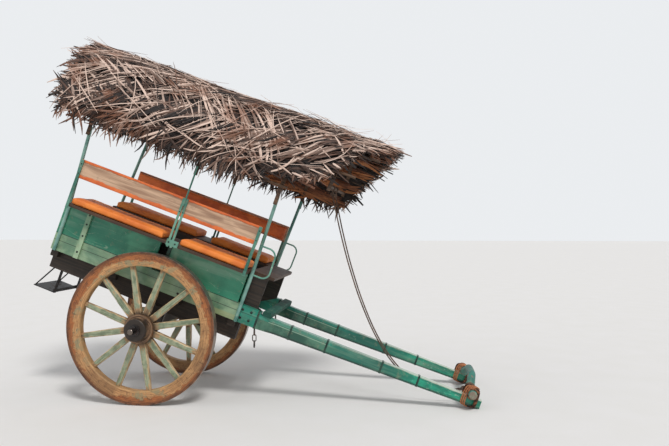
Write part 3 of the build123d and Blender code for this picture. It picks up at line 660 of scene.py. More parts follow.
# Each paint's colours are its light and deep ones, then the one under its chips or its rust
paints = {
    "tyre": tyre_paint(),
    "felloe": felloe_paint(),
    "spoke": spoke_paint(),
    "nave": nave_paint(),
    "nave band": iron("nave iron", (0.52, 0.40, 0.29), (0.26, 0.19, 0.14), (0.46, 0.28, 0.16)),
    "axle": iron("axle iron", (0.26, 0.25, 0.25), (0.10, 0.09, 0.09), (0.22, 0.13, 0.09),
                 gloss=0.25, metal=0.8, polish_and_highlight_past=0.803),
    # The underframe's timber is near black: painted shade under the body
    "underframe_in_painted_shade": bare_timber("frame wood in painted shade", (0.24, 0.19, 0.15), (0.12, 0.10, 0.08), along_x, gloss=0.7),
    "floor": bare_timber("floor wood", (0.50, 0.41, 0.31), (0.30, 0.23, 0.17), along_x),
    "shaft": old_paint("shaft wood", (0.0, 0.53, 0.44), (0.0, 0.42, 0.34), bare_wood, along_x,
                       chips=0.66, gloss=0.26, scuff=0.35, coat=0.3, colour_at=shaft_colour),
    "footrest": old_paint("footrest wood", (0.05, 0.33, 0.27), (0.02, 0.22, 0.18), bare_wood, along_y,
                          chips=0.64, gloss=0.62, scuff=0.12, coat=0.0),
    "panel": old_paint("panel wood", (0.27, 0.59, 0.45), (0.05, 0.46, 0.34), bare_wood, along_x,
                       chips=0.67, gloss=0.30, scuff=0.55, coat=0.3, colour_at=panel_colour),
    "seat board": bare_timber("seat wood", (0.36, 0.24, 0.15), (0.18, 0.12, 0.08), along_x, gloss=0.6),
    "strap": iron("strap iron", (0.17, 0.31, 0.26), (0.07, 0.16, 0.14), (0.20, 0.16, 0.11),
                  gloss=0.4, metal=0.2),
    "bar": old_paint("bar paint", (0.40, 0.60, 0.52), (0.14, 0.38, 0.32), rubbed_steel, along_z,
                     chips=0.64, gloss=0.38),
    "post": old_paint("post paint", (0.50, 0.66, 0.61), (0.20, 0.42, 0.38), rusted, along_z,
                      chips=0.66, gloss=0.40),
    "handle": old_paint("handle paint", (0.45, 0.66, 0.58), (0.26, 0.50, 0.44), rubbed_steel, along_z,
                        chips=0.66, gloss=0.34),
    "stile": old_paint("stile paint", (0.62, 0.72, 0.58), (0.42, 0.57, 0.45), bare_wood, along_z, chips=0.64),
    "pole": bare_timber("roof wood", (0.42, 0.31, 0.22), (0.20, 0.14, 0.10), along_x),
    "step": iron("step iron", (0.13, 0.13, 0.13), (0.05, 0.05, 0.05), (0.22, 0.14, 0.10),
                 gloss=0.5, metal=0.4),
    "chain": iron("chain iron", (0.42, 0.40, 0.38), (0.18, 0.16, 0.15), (0.34, 0.20, 0.12),
                  gloss=0.35, metal=0.8),
    "bolt": iron("bolt iron", (0.16, 0.21, 0.19), (0.06, 0.07, 0.07), (0.24, 0.15, 0.10), gloss=0.4),
    "yoke": old_paint("yoke wood", (0.20, 0.50, 0.44), (0.08, 0.36, 0.32), (0.52, 0.46, 0.40), along_y,
                      chips=0.54, gloss=0.45, colour_at=yoke_colour),
    "ply": ply_paint(),
    "cushion": vinyl_paint("cushion vinyl", (0.95, 0.55, 0.22), (0.86, 0.45, 0.17)),
    "pad": vinyl_paint("pad vinyl", (0.91, 0.47, 0.22), (0.77, 0.35, 0.16)),
    "leaf": leaf_paint("thatch leaf", (0.10, 0.06, 0.045), (0.40, 0.29, 0.235), (0.90, 0.79, 0.72),
                       (0.54, 0.34, 0.23)),
    "lining": leaf_paint("thatch lining", (0.09, 0.05, 0.03), (0.42, 0.235, 0.125), (0.64, 0.40, 0.22),
                         (0.40, 0.21, 0.11)),
    "rein": rope_paint("rein rope", (0.52, 0.42, 0.35), (0.34, 0.26, 0.21)),
    "lashing": rope_paint("lashing rope", (0.90, 0.59, 0.40), (0.22, 0.12, 0.08), mottle=55.0, toned=0.28),
}

# Which paint each CAD node wears
worn_by = {
    "tyre": "tyre_right tyre_left",
    "felloe": "felloes_right felloes_left",
    "spoke": "spokes_right spokes_left",
    "nave": "nave_right nave_left",
    "nave band": "nave_bands_right nave_bands_left",
    "axle": "axle_bar linch_pins axle_clips",
    # The bench gussets wear the underframe's near black as painted shade
    "underframe_in_painted_shade": "axle_bed bearers cross_members seat_risers bench_gussets",
    "floor": "floor_boards",
    "shaft": "shaft_right shaft_left",
    "footrest": "footrest_beam",
    "panel": "side_panel_right side_panel_left front_board",
    "seat board": "seat_board_right seat_board_left driver_bench",
    "strap": "shaft_bands stay_straps",
    "bar": "backrest_bars",
    "post": "roof_posts",
    "handle": "grab_handles",
    "stile": "side_stiles",
    "pole": "roof_laths roof_tie_bar roof_hoops",
    "step": "step_tread step_hangers",
    "chain": "shaft_chains",
    "yoke": "yoke",
    "ply": "backrest_board_right backrest_board_left",
}
for paint_name, nodes in worn_by.items():
    for node in nodes.split():
        for slot in frame["nodes"][node].material_slots:
            slot.material = paints[paint_name]


# ---------------------------------------------------------------- ropes
def stand_in(name, solid, paint, node, slot, **extra):
    """A piece that takes a CAD node's place and is made of the given paint."""
    points, faces, uvs = solid
    made = piece(name, points, faces, paints[paint], uvs=uvs, **extra)
    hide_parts(node)
    return made


def spline_points(name, route):
    """Points along the open NURBS spline of order 3 whose control points are the route's."""
    curve = bpy.data.curves.new(name, "CURVE")
    curve.dimensions = "3D"
    curve.resolution_u = 16
    line = curve.splines.new("NURBS")
    line.points.add(len(route) - 1)
    line.points.foreach_set("co", np.hstack((route, np.ones((len(route), 1)))).ravel())
    line.order_u = 3
    line.use_endpoint_u = True
    guide = bpy.data.objects.new(name, curve)
    run = bpy.data.meshes.new_from_object(guide)
    points = mesh_points(run)
    bpy.data.objects.remove(guide)
    bpy.data.curves.remove(curve)
    bpy.data.meshes.remove(run)
    return points


def rope(path, side, radius):
    """A laid rope: three round strands whose centres turn round the path, a third of a turn apart.

    side is a direction off the path, one for all its points or one each, that fixes where the turning
    starts.
    """
    tangent = unit(np.gradient(path, axis=0))
    side = np.broadcast_to(side, path.shape)
    first = unit(side - (side * tangent).sum(-1, keepdims=True) * tangent)
    second = np.cross(tangent, first)
    pitch = rope_pitch * radius / rope_radius
    turn = 2 * math.pi * (distances(path) / pitch + np.arange(3)[:, None] / 3)[..., None]
    out = np.cos(turn) * first + np.sin(turn) * second
    strand = radius / strand_ratio
    return swept(path + (radius - strand) * out, out, circle(strand, 8))


def coil(centre, axis, start, radius, turns, pitch):
    """A helix: centre + axis pitch (turn - half the turns) + radius (cos turn start + sin turn side)."""
    turn = np.linspace(0, turns, round(turns * 40))[:, None]
    axis, start = unit(np.asarray(axis, float)), unit(np.asarray(start, float))
    side = np.cross(axis, start)
    out = np.cos(2 * math.pi * turn) * start + np.sin(2 * math.pi * turn) * side
    return centre + axis * pitch * (turn - turns / 2) + radius * out, out


tie_solids = []
for hand, ends in rein_y.items():
    route_x, route_z = np.transpose(rein_route)
    route = axle + np.column_stack((route_x, np.linspace(*ends, len(route_x)), route_z))
    line = resampled(spline_points(f"rein line {hand}", route), rope_pitch / 11)
    rein = stand_in(f"rein_rope_{hand}", rope(line, leftward, rope_radius), "rein", f"rein_{hand}", "rope")
    for (x, z), radius, run in ((tie_bar_at, tie_bar_radius, route), (yoke_at, yoke_radius, route[::-1])):
        centre = place((x, run[0][1], z))
        away = unit(run[1] - run[0])
        turns_round, out = coil(centre, leftward, run[0] - centre, radius + rope_radius, 2.5, tie_pitch)
        tie_solids.append(rope(turns_round, out, rope_radius))
        hitch, out = coil(run[0] + 0.004 * away, away, leftward, 2 * rope_radius - 0.001, 2.2, tie_pitch)
        tie_solids.append(rope(hitch, out, rope_radius))
        to_bar = centre + unit(run[0] - centre) * radius
        stub = resampled(np.stack((to_bar, run[0] + 0.01 * away)), 0.004)
        tie_solids.append(rope(stub, leftward, rope_radius))
stand_in("rein_hitches", joined(*tie_solids), "rein", "rein_ties", "rope")


def lashing(sign):
    """Rope wound over the yoke and under a shaft, slantwise one way and then the other, and round the yoke.

    A turn is a rounded rectangle, reach root(cos a) across and height root(sin a) up with their signs
    kept, on a plane at 45 degrees. It moves sideways by a step a turn, and its ends tuck in. The upper
    winding is pale and open, and the lower one is toned dark as painted shade that shows between its turns.
    """
    solids, shades = [], []
    for turn_way, over, turns, step, shade in lash_windings:
        a = np.linspace(0, 2 * math.pi * turns, 90 * turns) + 0.9
        share = np.linspace(0, 1, len(a))
        tuck = 1 - 0.16 * (np.clip(1 - share * 14, 0, 1) + np.clip(share * 14 - 13, 0, 1))
        wide = (lash_reach + lash_rope + over) * tuck * np.sign(np.cos(a)) * np.abs(np.cos(a)) ** 0.5
        high = ((lash_high - lash_low) / 2 + lash_rope + over) * np.sign(np.sin(a)) * np.abs(np.sin(a)) ** 0.5
        shift = (share - 0.5) * step * lash_rope * (turns - 0.6)
        along, beside = np.array((1, turn_way)) / 2 ** 0.5, np.array((-turn_way, 1)) / 2 ** 0.5
        level_xy = np.array((yoke_at[0], sign * lash_y)) + wide[:, None] * along + shift[:, None] * beside
        path = place(np.column_stack((level_xy, (lash_high + lash_low) / 2 + high)))
        middle = path.mean(axis=0)
        path = resampled(path, 0.0045)
        solids.append(rope(path, path - middle, lash_rope))
        shades.append(shade)
    pitch = 2.05 * lash_rope
    centre = place((yoke_at[0], sign * sum(lash_coil) / 2, yoke_at[1]))
    turns = (lash_coil[1] - lash_coil[0]) / pitch
    path, out = coil(centre, leftward, up, yoke_radius + lash_rope, turns, pitch)
    solids.append(rope(path, out, lash_rope))
    shades.append(0.4)
    return joined(*solids), np.repeat(shades, [len(solid[0]) for solid in solids])


for hand, sign in (("right", -1), ("left", 1)):
    wraps, tone = lashing(sign)
    stand_in(f"yoke_rope_{hand}", wraps, "lashing", f"yoke_lashing_{hand}", "rope", tone=tone)


# ---------------------------------------------------------------- thatch
thatch_random = np.random.default_rng(7)
eave_level = hoop_spring + thatch_inner * math.cos(eave_angle)
ridge_level = hoop_spring + thatch_outer
eave_arc = eave_angle * thatch_outer
leaf_rows = 6
leaf_taper = np.array((0.6, 1.0, 1.0, 0.95, 0.75, 0.22))


def uniform(low, high, count):
    return thatch_random.uniform(low, high, count)


def either_side(count):
    """-1 for the right side of the roof or 1 for the left, at random."""
    return np.where(uniform(0, 1, count) < 0.5, -1.0, 1.0)


def roof_ends(angle, radius, side):
    """Where the roof's slanting rear and front ends are at an angle and radius, with the right side's cut."""
    height = radius * np.cos(angle)
    share = (hoop_spring + height - eave_level) / (ridge_level - eave_level)
    rear, front = (eave + (ridge - eave) * share for eave, ridge in zip(eave_ends, ridge_ends))
    return rear, np.where(side < 0, np.minimum(front, np.interp(height, cut_height, cut_x, right=2)), front)


def edge_angle(x, side):
    """How far round from the crown the thatch reaches at x: to the eave, or to the right side's cut."""
    cut = np.arccos(np.interp(x, cut_x, cut_height) / thatch_outer)
    return np.where(side < 0, np.minimum(eave_angle, cut), eave_angle)


def roof_point(x, angle, radius):
    """A level-frame point at a distance and an angle from the crown's centre line."""
    return np.stack((x, radius * np.sin(angle), hoop_spring + radius * np.cos(angle)), -1)


def lumps(x, angle):
    """A heap's unevenness, -1 to 1: the mean of four crossed waves of different lengths."""
    waves = (np.sin(5 * x + 3 * angle), np.sin(9 * x - 6 * angle + 1), np.sin(16 * x + 11 * angle + 2),
             np.sin(4 * x - 9 * angle + 4))
    return sum(waves) / len(waves)


def thatch_bed():
    """The thatch's closed body: an arch between two radii, lumpy outside, running between slanted ends."""
    angle = np.linspace(-eave_angle, eave_angle, 85)
    along = np.linspace(0, 1, 90)[:, None]
    rings = []
    skins = ((thatch_outer - 0.032, angle, 0.010), (thatch_inner + 0.004, angle[::-1], 0.003))
    for radius, angles, rough in skins:
        rear, front = roof_ends(angles, radius, angles)
        x = (rear + 0.03) + (front - rear - 0.06) * along
        rings.append(roof_point(x, np.broadcast_to(angles, x.shape), radius + rough * lumps(x, angles)))
    points = place(np.concatenate(rings, axis=1))
    rows, columns = points.shape[:2]
    outer, inner = np.arange(len(angle)), np.arange(columns - 1, len(angle) - 1, -1)
    cap = np.stack((outer[:-1], inner[:-1], inner[1:], outer[1:]), -1)
    last = (rows - 1) * columns
    faces = [grid(rows, columns), cap, cap[:, ::-1] + last]
    return points.reshape(-1, 3), faces


def leaves(x, arc, slant, length, width, height, lift, side, droop=0.8):
    """Leaf strips on the roof: points along each, with a flat three-cornered section.

    A strip's middle is at x and arc, arc being the distance round the roof from the crown. It runs at
    slant from the x direction, bows by a share of its length, and rises by lift from its root to its
    tip, more towards the front. What runs past the thatch's edge doesn't go on round the arch: it hangs
    plumb by the share droop, and for the rest down the level frame's z.
    """
    t = np.linspace(-0.5, 0.5, leaf_rows)
    count = len(x)
    bow = thatch_random.normal(0, 0.05, count)[:, None] * (1 - 4 * t ** 2) * length[:, None]
    run = t * length[:, None]
    xs = x[:, None] + run * np.cos(slant)[:, None] - bow * np.sin(slant)[:, None]
    arcs = arc[:, None] + run * np.sin(slant)[:, None] + bow * np.cos(slant)[:, None]
    sides = np.broadcast_to(side[:, None], xs.shape)
    edge = edge_angle(xs, sides)
    angle = np.minimum(arcs / thatch_outer, edge)
    rough = 0.010 + 0.006 * np.clip(xs, 0, 1)
    raised = lift[:, None] * (1 + 0.8 * np.clip(xs, 0, 1)) * (t + 0.5) ** 1.5
    radius = height[:, None] + raised + rough * lumps(xs, sides * angle)
    points = roof_point(xs, sides * angle, radius)
    outward = roof_point(xs * 0, sides * angle, np.ones_like(xs)) - (0, 0, hoop_spring)
    hang = np.maximum(arcs / thatch_outer - edge, 0) * thatch_outer
    points = points + hang[..., None] * (plumb * droop + np.array((0, 0, -1)) * (1 - droop))
    tilt = thatch_random.normal(0, 0.3, (count, 1, 3))
    half = width[:, None] / 2 * leaf_taper
    thick = 0.0012 + 0.22 * half
    zero = np.zeros_like(half)
    profile = np.stack([np.stack(c, -1) for c in ((-half, zero), (half, zero), (zero, thick))], 2)
    turned = outward @ np.stack((forward, leftward, up)) + tilt
    return swept(place(points), turned, profile)


def tones(values):
    """One tone for each of a strip's points."""
    return np.repeat(values, 3 * leaf_rows)


def fronds(courses, per_course, leaflets):
    """Palm fronds in courses: a frond's leaflets lie parallel and evenly spaced along its hidden midrib.

    The midribs run rearwards, a little downwards. Most fronds' leaflets hang rearwards and down from
    theirs, and the others point rearwards and up, which crosses them.
    """
    count = 2 * courses * per_course
    side = np.repeat((-1.0, 1.0), count // 2)
    course = np.tile(np.repeat(np.arange(courses), per_course), 2)
    place_in = np.tile(np.arange(per_course), 2 * courses)
    span = eave_arc / courses
    rib_arc = (course + 0.15) * span + thatch_random.normal(0, 0.25, count) * span
    reach = ridge_ends[1] - ridge_ends[0]
    rib_start = ridge_ends[0] + reach * (place_in + 1 + uniform(-0.5, 0.5, count)) / per_course
    heading = uniform(-0.10, 0.30, count)
    down = np.where(uniform(0, 1, count) < 0.78, 1.0, -1.0)
    opening = uniform(0.25, 0.55, count) + 0.12 * course
    shade = uniform(0.06, 0.72, count)
    height = thatch_outer - 0.014 + uniform(0.0, 0.022, count)
    frond = np.repeat(np.arange(count), leaflets)
    out = np.tile(np.arange(leaflets), count) * uniform(0.030, 0.044, count)[frond]
    slant = (heading + down * opening)[frond] + thatch_random.normal(0, 0.06, len(frond))
    length = uniform(0.20, 0.40, count)[frond] * uniform(0.8, 1.15, len(frond))
    x = rib_start[frond] - np.cos(heading[frond]) * out - np.cos(slant) * length / 2
    arc = np.abs(rib_arc[frond] + np.sin(heading[frond]) * out + np.sin(slant) * length / 2)
    width = uniform(0.013, 0.023, len(frond))
    lift = uniform(0.002, 0.020, len(frond))
    tone = shade[frond] + thatch_random.normal(0, 0.28, len(frond))
    rear, front = roof_ends(np.minimum(arc / thatch_outer, eave_angle), thatch_outer, side[frond])
    inside = (x > rear + 0.02) & (x < front - 0.01)
    ahead = x + np.abs(np.cos(slant)) * length * 0.4
    inside &= arc < edge_angle(ahead, side[frond]) * thatch_outer - np.abs(np.sin(slant)) * length * 0.3
    values = (x, arc, math.pi - slant, length, width, height[frond], lift, side[frond])
    return leaves(*[value[inside] for value in values]), tones(tone[inside])


def scattered(count, low_arc, high_arc, slants, lengths, widths, heights, lifts, shades):
    """Leaf strips thrown at random over both sides of the roof, within the given ranges.

    Slants are in degrees, and heights are measured from the thatch's outer radius.
    """
    arc = uniform(low_arc, high_arc, count)
    side = either_side(count)
    rear, front = roof_ends(np.minimum(arc / thatch_outer, eave_angle), thatch_outer, side)
    x = rear + 0.06 + (front - rear - 0.12) * uniform(0, 1, count)
    slant = uniform(*np.radians(slants), count)
    slant = np.where(uniform(0, 1, count) < 0.35, slant, -slant) + math.pi * (uniform(0, 1, count) < 0.5)
    length = uniform(*lengths, count)
    reach = np.abs(np.cos(slant)) * length / 2
    x = np.clip(x, rear + reach * 0.9, front - reach * 0.9)
    edge = edge_angle(x + reach * 0.8, side) * thatch_outer
    arc = np.minimum(arc, edge - 0.35 * np.abs(np.sin(slant)) * length)
    width = uniform(*widths, count)
    height = uniform(*np.add(thatch_outer, heights), count)
    solid = leaves(x, arc, slant, length, width, height, uniform(*lifts, count), side)
    return solid, tones(uniform(*shades, count))


def fringe(count):
    """Leaflet ends that hang plumb along the lower edges, few and short along the right side's cut."""
    side = either_side(count)
    x = uniform(eave_ends[0] + 0.02, eave_ends[1] - 0.02, count)
    cut = (side < 0) & (x > cut_x[0])
    length = uniform(0.08, 0.28, count) * np.where(cut, 0.45, 1)
    arc = edge_angle(x, side) * thatch_outer + length * uniform(-0.55, 0.25, count)
    inside = ~cut | (uniform(0, 1, count) < 0.3)
    slant = math.pi / 2 + thatch_random.normal(0.40, 0.32, count)
    height = thatch_outer + uniform(-0.060, 0.004, count)
    width = uniform(0.008, 0.018, count)
    lift = uniform(-0.004, 0.010, count)
    values = (x, arc, slant, length, width, height, lift, side)
    shade = uniform(-0.1, 0.65, count)
    return leaves(*[value[inside] for value in values], 1.0), tones(shade[inside])


def end_fringe(count):
    """Short strips that poke out past the roof's two slanted ends."""
    side = either_side(count)
    at_front = uniform(0, 1, count) < 0.5
    angle = uniform(0, eave_angle, count)
    height = uniform(thatch_inner + 0.010, thatch_outer + 0.004, count)
    rear, front = roof_ends(angle, height, side)
    length = uniform(0.10, 0.28, count) * np.where(at_front & (side < 0), 0.6, 1)
    x = np.where(at_front, front - length * 0.42, rear + length * 0.38)
    arc = np.minimum(angle, edge_angle(x, side) - 0.03) * thatch_outer
    slant = np.where(at_front, 0.0, math.pi) + uniform(-0.6, 0.6, count)
    width = uniform(0.006, 0.018, count)
    lift = uniform(-0.006, 0.010, count)
    solid = leaves(x, arc, slant, length, width, height, lift, side)
    return solid, tones(uniform(0.05, 0.85, count))


def lining(count, courses):
    """Leaves inside the roof, in courses that stand off the arch towards their ragged lower edges.

    Each course is dark where the one above shades it and paler towards its lower edge.
    """
    course = thatch_random.integers(0, courses, count)
    band = eave_arc / courses
    down = uniform(0, 1, count)
    side = either_side(count)
    arc = (course + 0.1 + 0.8 * down) * band
    rear, front = roof_ends(arc / thatch_outer, thatch_inner, side)
    length = uniform(0.14, 0.42, count)
    x = rear + 0.16 + (front - rear - 0.26) * uniform(0, 1, count)
    x = np.clip(x, rear + length / 2, front - length / 2)
    arc = np.minimum(arc, edge_angle(x, side) * thatch_outer - 0.03)
    slant = thatch_random.normal(0, 0.17, count)
    height = thatch_inner - 0.004 - 0.026 * down + uniform(-0.003, 0.003, count)
    shade = down * 1.15 - 0.35 + thatch_random.normal(0, 0.12, count)
    width = uniform(0.016, 0.034, count)
    lift = uniform(-0.008, 0.004, count)
    return leaves(x, arc, slant, length, width, height, lift, side), tones(shade)


def leaf_piece(name, *batches, paint="leaf"):
    """Batches of leaf strips as one piece that stands for the thatch."""
    solids, tone = zip(*batches)
    stand_in(name, joined(*solids), paint, "thatch_roof", "thatch", tone=np.concatenate(tone), smooth=False)


points, faces = thatch_bed()
# The bed under the strips is toned near black: painted shade in the gaps between them
bed_painted_shade = np.full(len(points), -0.3)
bed = stand_in("thatch_bed", (points, faces, None), "leaf", "thatch_roof", "thatch", tone=bed_painted_shade)
bed.data.uv_layers.new(name="along")

# Count, lowest and highest arc, then the ranges of slant, length, width, height, lift and tone
# The underlayer's tones run dark: painted shade under the upper strips
under = scattered(1500, 0.0, eave_arc - 0.02, (2, 40), (0.35, 0.75), (0.018, 0.032),
                  (-0.036, -0.022), (0.0, 0.012), (-0.35, 0.30))
leaf_piece("thatch_underlayer", under)
leaf_piece("thatch_fronds", fronds(courses=6, per_course=7, leaflets=24))
crossed = scattered(480, 0.0, eave_arc - 0.03, (12, 55), (0.16, 0.42), (0.010, 0.019),
                    (-0.006, 0.006), (0.0, 0.02), (0.2, 0.95))
loose = scattered(260, 0.0, eave_arc - 0.04, (5, 70), (0.22, 0.60), (0.004, 0.009),
                  (0.002, 0.014), (0.0, 0.06), (0.4, 1.1))
ridge = scattered(330, -0.04, 0.13, (8, 48), (0.22, 0.50), (0.012, 0.020),
                  (-0.008, 0.004), (0.0, 0.02), (0.1, 0.95))
leaf_piece("thatch_loose_leaves", crossed, loose, ridge)
leaf_piece("thatch_fringe", fringe(1150))
leaf_piece("thatch_ends", end_fringe(900))
leaf_piece("thatch_lining", lining(3200, courses=5), paint="lining")


# ---------------------------------------------------------------- seats and backs
def boxes(runs, ys, zs, inset):
    """Closed boxes between level-frame limits, drawn in by an inset: points and faces."""
    corners, faces = [], []
    for x0, x1 in runs:
        first = len(corners)
        lows, highs = np.array((x0, ys[0], zs[0])) + inset, np.array((x1, ys[1], zs[1])) - inset
        corners += [np.where(((i >> 2) & 1, (i >> 1) & 1, i & 1), highs, lows) for i in range(8)]
        sides = ((0, 1, 3, 2), (4, 6, 7, 5), (0, 4, 5, 1), (2, 3, 7, 6), (0, 2, 6, 4), (1, 5, 7, 3))
        faces += [[first + corner for corner in side] for side in sides]
    return np.array(corners), [np.array(faces)]


def evaluated(thing):
    """The object with its modifiers applied."""
    return thing.evaluated_get(bpy.context.evaluated_depsgraph_get())


def swelled(name, runs, ys, zs, voxel, cap, limits, paint):
    """A padded piece: boxes remeshed, blown up as cloth under pressure, and held within limits.

    No point moves further than cap, and limits are level-frame bounds that the pad rests against.
    """
    corners, faces = boxes(runs, ys, zs, inset=0.004)
    pad = piece(name, place(corners), faces, paint)
    bpy.context.view_layer.objects.active = pad
    remesh = pad.modifiers.new("remesh", "REMESH")
    remesh.mode = "VOXEL"
    remesh.voxel_size = voxel
    pad.data = bpy.data.meshes.new_from_object(evaluated(pad))
    pad.modifiers.clear()
    start = mesh_points(pad.data)
    cloth = pad.modifiers.new("cloth", "CLOTH")
    cloth.settings.use_pressure = True
    cloth.settings.uniform_pressure_force = pad_pressure
    cloth.settings.effector_weights.gravity = 0
    for step in range(cloth_steps):
        bpy.context.scene.frame_set(step + 1)
    blown = mesh_points(evaluated(pad).to_mesh())
    pad.modifiers.clear()
    bpy.context.scene.frame_set(1)
    moved = blown - start
    far = np.linalg.norm(moved, axis=-1, keepdims=True)
    start = start + moved * np.minimum(1, cap / np.maximum(far, 1e-9))
    level = (start - axle) @ np.stack((forward, leftward, up), -1)
    pad.data.vertices.foreach_set("co", place(np.clip(level, *limits)).ravel())
    pad.data.update()
    pad.data.polygons.foreach_set("use_smooth", np.full(len(pad.data.polygons), True))
    pad.data.materials.clear()
    pad.data.materials.append(paint)
    smooth = pad.modifiers.new("smooth", "SUBSURF")
    smooth.levels = smooth.render_levels = 1
    return pad


def mirrored(name, source):
    """The same piece on the cart's other side: y changes sign, and the faces are turned to suit."""
    mesh = source.data.copy()
    points = mesh_points(mesh) * (1, -1, 1)
    mesh.vertices.foreach_set("co", points.ravel())
    mesh.flip_normals()
    made = added(name, mesh)
    for modifier in source.modifiers:
        copied = made.modifiers.new(modifier.name, modifier.type)
        copied.levels = copied.render_levels = 1
    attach(made, "cart")
    return made


cushion_limits = ((-2, -seat_edge + 0.001, cushion_low + 0.0005), (2, -seat_inner + 0.012, 1))
cushions = {"right": swelled("cushions_right", cushion_runs, (-seat_edge, -seat_inner),
                             (cushion_low, cushion_high), voxel=0.010, cap=0.013,
                             limits=cushion_limits, paint=paints["cushion"])}
cushions["left"] = mirrored("cushions_left", cushions["right"])
pad_limits = ((seat_rear, -board_inner + 0.0005, back_bottom - 0.004),
              (seat_front, -back_inner + 0.008, back_top + 0.004))
pads = {"right": swelled("back_pad_right", ((seat_rear, seat_front),), (-board_inner, -back_inner),
                         (back_bottom, back_top), voxel=0.008, cap=0.010,
                         limits=pad_limits, paint=paints["pad"])}
pads["left"] = mirrored("back_pad_left", pads["right"])


def wrap_strip(sign, top):
    """The vinyl where it folds over the plywood's edge to the outside: a thin band with a wavy free edge.

    Its section is a flat loop from inside the board's edge, over it, and down the outer face. The free
    edge moves by a sum of waves along x, and small folds raise the skin there.
    """
    x = np.linspace(seat_rear + 0.002, seat_front - 0.002, 240)
    wave = 0.5 * np.sin(23 * x + 2 * top) + 0.3 * np.sin(61 * x + 1) + 0.2 * np.sin(127 * x + 2)
    reach = (0.017 if top else 0.030) + (0.004 if top else 0.007) * wave
    folds = 0.0012 * np.abs(np.sin(83 * x + 3 * np.sin(9 * x)))
    edge = back_top + 0.0015 if top else back_bottom - 0.0015
    down = -1 if top else 1
    outer_face = [(wrap_inner + 0.0022 + folds * (0.6 + share), reach * share) for share in (0.35, 0.7, 1.0)]
    section = (
        (board_inner - 0.006, 0), (wrap_inner + 0.001, 0), (wrap_inner + 0.0035, 0.002), *outer_face,
        (wrap_inner + 0.0005, reach - 0.001), (wrap_inner + 0.0002, 0.004), (board_inner - 0.006, 0.003),
    )
    rows = [np.broadcast_arrays(x, sign * y, edge + down * off) for y, off in section]
    points = np.stack([np.stack(row, -1) for row in rows], 1)
    n, k = points.shape[:2]
    faces = grid(n, k)
    ring = np.arange(k)[None]
    caps = np.concatenate((ring[:, ::-1], ring + (n - 1) * k))
    if (sign > 0) == top:
        faces, caps = faces[:, ::-1], caps[:, ::-1]
    return place(points), [faces, caps]


for hand, sign in (("right", -1), ("left", 1)):
    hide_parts(f"seat_cushion_{hand}")
    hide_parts(f"backrest_pad_{hand}")
    for edge_name, top in (("top", True), ("bottom", False)):
        strip = (*wrap_strip(sign, top), None)
        stand_in(f"back_wrap_{edge_name}_{hand}", strip, "pad", f"backrest_pad_{hand}", "seat_vinyl")


# ---------------------------------------------------------------- bolts
def domes(centres, out, radius, height, sides=14, rings=5):
    """Bolt heads: domes whose rings are evenly spaced over a quarter turn, on short square-edged rims."""
    lift = np.linspace(0, math.pi / 2, rings)
    across = np.concatenate(((1.0, 1.0), np.cos(lift)[1:-1] * 0.94, (0.02,)))
    rise = np.concatenate(((-0.3, 0.25), 0.25 + 0.75 * np.sin(lift)[1:-1], (1.0,))) * height
    paths = np.asarray(centres)[:, None] + rise[:, None] * np.asarray(out)[:, None]
    side = np.broadcast_to(forward, paths.shape)
    profile = circle(radius, sides)[None, None] * across[None, :, None, None]
    return swept(paths, side, np.broadcast_to(profile, paths.shape[:2] + profile.shape[2:]))


bolt_groups = (
    # Every x with every z, |y|, and the head's radius
    ((0.700, 0.775), (0.345, 0.415), 0.470, 0.011),
    ((-0.764,), (0.500, 0.600, 0.680), 0.488, 0.008),
    ((-0.764,), (0.360,), 0.488, 0.009),
    ((-0.970, -0.430, 0.150), (0.340,), 0.470, 0.010),
    ((-0.021, 0.035), (0.728,), 0.611, 0.007),
    ((-0.021, 0.009), (0.985,), 0.611, 0.005),
    ((-0.918, 0.638), (0.985, 1.065), 0.611, 0.005),
)
bolts = np.array([(x, sign * y, z, head) for xs, zs, y, head in bolt_groups
                  for x in xs for z in zs for sign in (-1, 1)])
solids = []
for radius in np.unique(bolts[:, 3]):
    rows = bolts[bolts[:, 3] == radius]
    solids.append(domes(place(rows[:, :3]), np.sign(rows[:, 1:2]) * leftward, radius, radius * 0.55))
points, faces, uvs = joined(*solids)
heads = piece("bolt_heads", points, faces, paints["bolt"], uvs=uvs)


# ---------------------------------------------------------------- floor, light and camera
def floor_paint():
    """Plain pale floor, barely mottled, so that the cart's shadow shows on it."""
    paint = Paint("floor paint")
    where = paint.node("ShaderNodeTexCoord", output="Object")
    colour = paint.mix(paint.noise(where, 3.0, 3.0), (0.90, 0.89, 0.87), (0.92, 0.91, 0.90))
    return paint.finish(colour, 0.9)


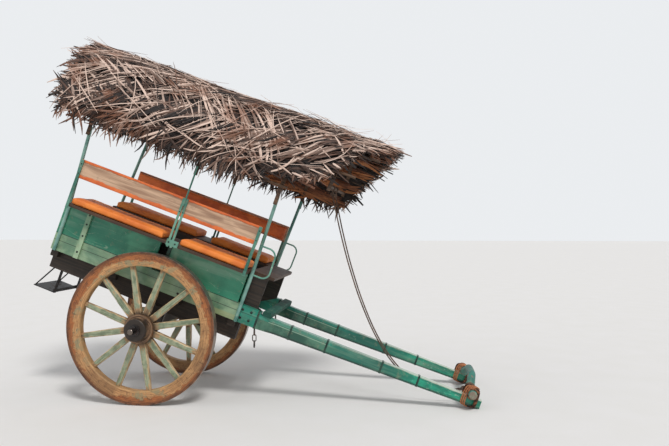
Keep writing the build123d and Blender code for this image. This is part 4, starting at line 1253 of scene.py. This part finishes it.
floor_mesh = bpy.data.meshes.new("floor")
floor_corners = [(x * floor_half, y * floor_half, 0) for x, y in ((-1, -1), (1, -1), (1, 1), (-1, 1))]
floor_mesh.from_pydata(floor_corners, [], [(0, 1, 2, 3)])
floor_mesh.materials.append(floor_paint())
floor = added("floor", floor_mesh)

# The world lights softly, and cameras and reflections see it paler than the light it gives
world = bpy.data.worlds.new("studio")
world.use_nodes = True
bpy.context.scene.world = world
nodes = world.node_tree.nodes
seen = nodes["Background"]
seen.inputs["Color"].default_value = screen(0.92, 0.93, 0.94)
sky = nodes.new("ShaderNodeBackground")
sky.inputs["Color"].default_value = screen(0.97, 0.98, 1.0)
sky.inputs["Strength"].default_value = 0.50
path = nodes.new("ShaderNodeLightPath")
either = nodes.new("ShaderNodeMath")
either.operation = "MAXIMUM"
shown = nodes.new("ShaderNodeMixShader")
wires = (
    (path.outputs["Is Camera Ray"], either.inputs[0]),
    (path.outputs["Is Glossy Ray"], either.inputs[1]),
    (either.outputs[0], shown.inputs[0]),
    (sky.outputs[0], shown.inputs[1]),
    (seen.outputs[0], shown.inputs[2]),
    (shown.outputs[0], nodes["World Output"].inputs["Surface"]),
)
for source, target in wires:
    world.node_tree.links.new(source, target)


def far_lamp(name, towards, strength, softness):
    """A distant lamp: the direction its light travels in, its strength, and how wide it looks in degrees."""
    lamp = bpy.data.lights.new(name, "SUN")
    lamp.energy = strength
    lamp.angle = math.radians(softness)
    x, y, z = towards
    turned = (math.acos(-z / math.hypot(x, y, z)), 0, math.atan2(y, x) - math.pi / 2)
    added(name, lamp).rotation_euler = turned


far_lamp("key light", (-0.45, 0.75, -1.15), 1.75, 14)
far_lamp("side light", (1.0, 0.5, -0.6), 0.35, 50)

camera_data = bpy.data.cameras.new("camera")
camera_data.lens = camera_lens
camera_data.sensor_width = camera_film
camera = added("camera", camera_data)
camera.location = axle + camera_from_axle
camera.rotation_euler = (math.pi / 2 + camera_pitch, 0, camera_yaw)
bpy.context.scene.camera = camera
bpy.context.scene.view_settings.view_transform = "Standard"
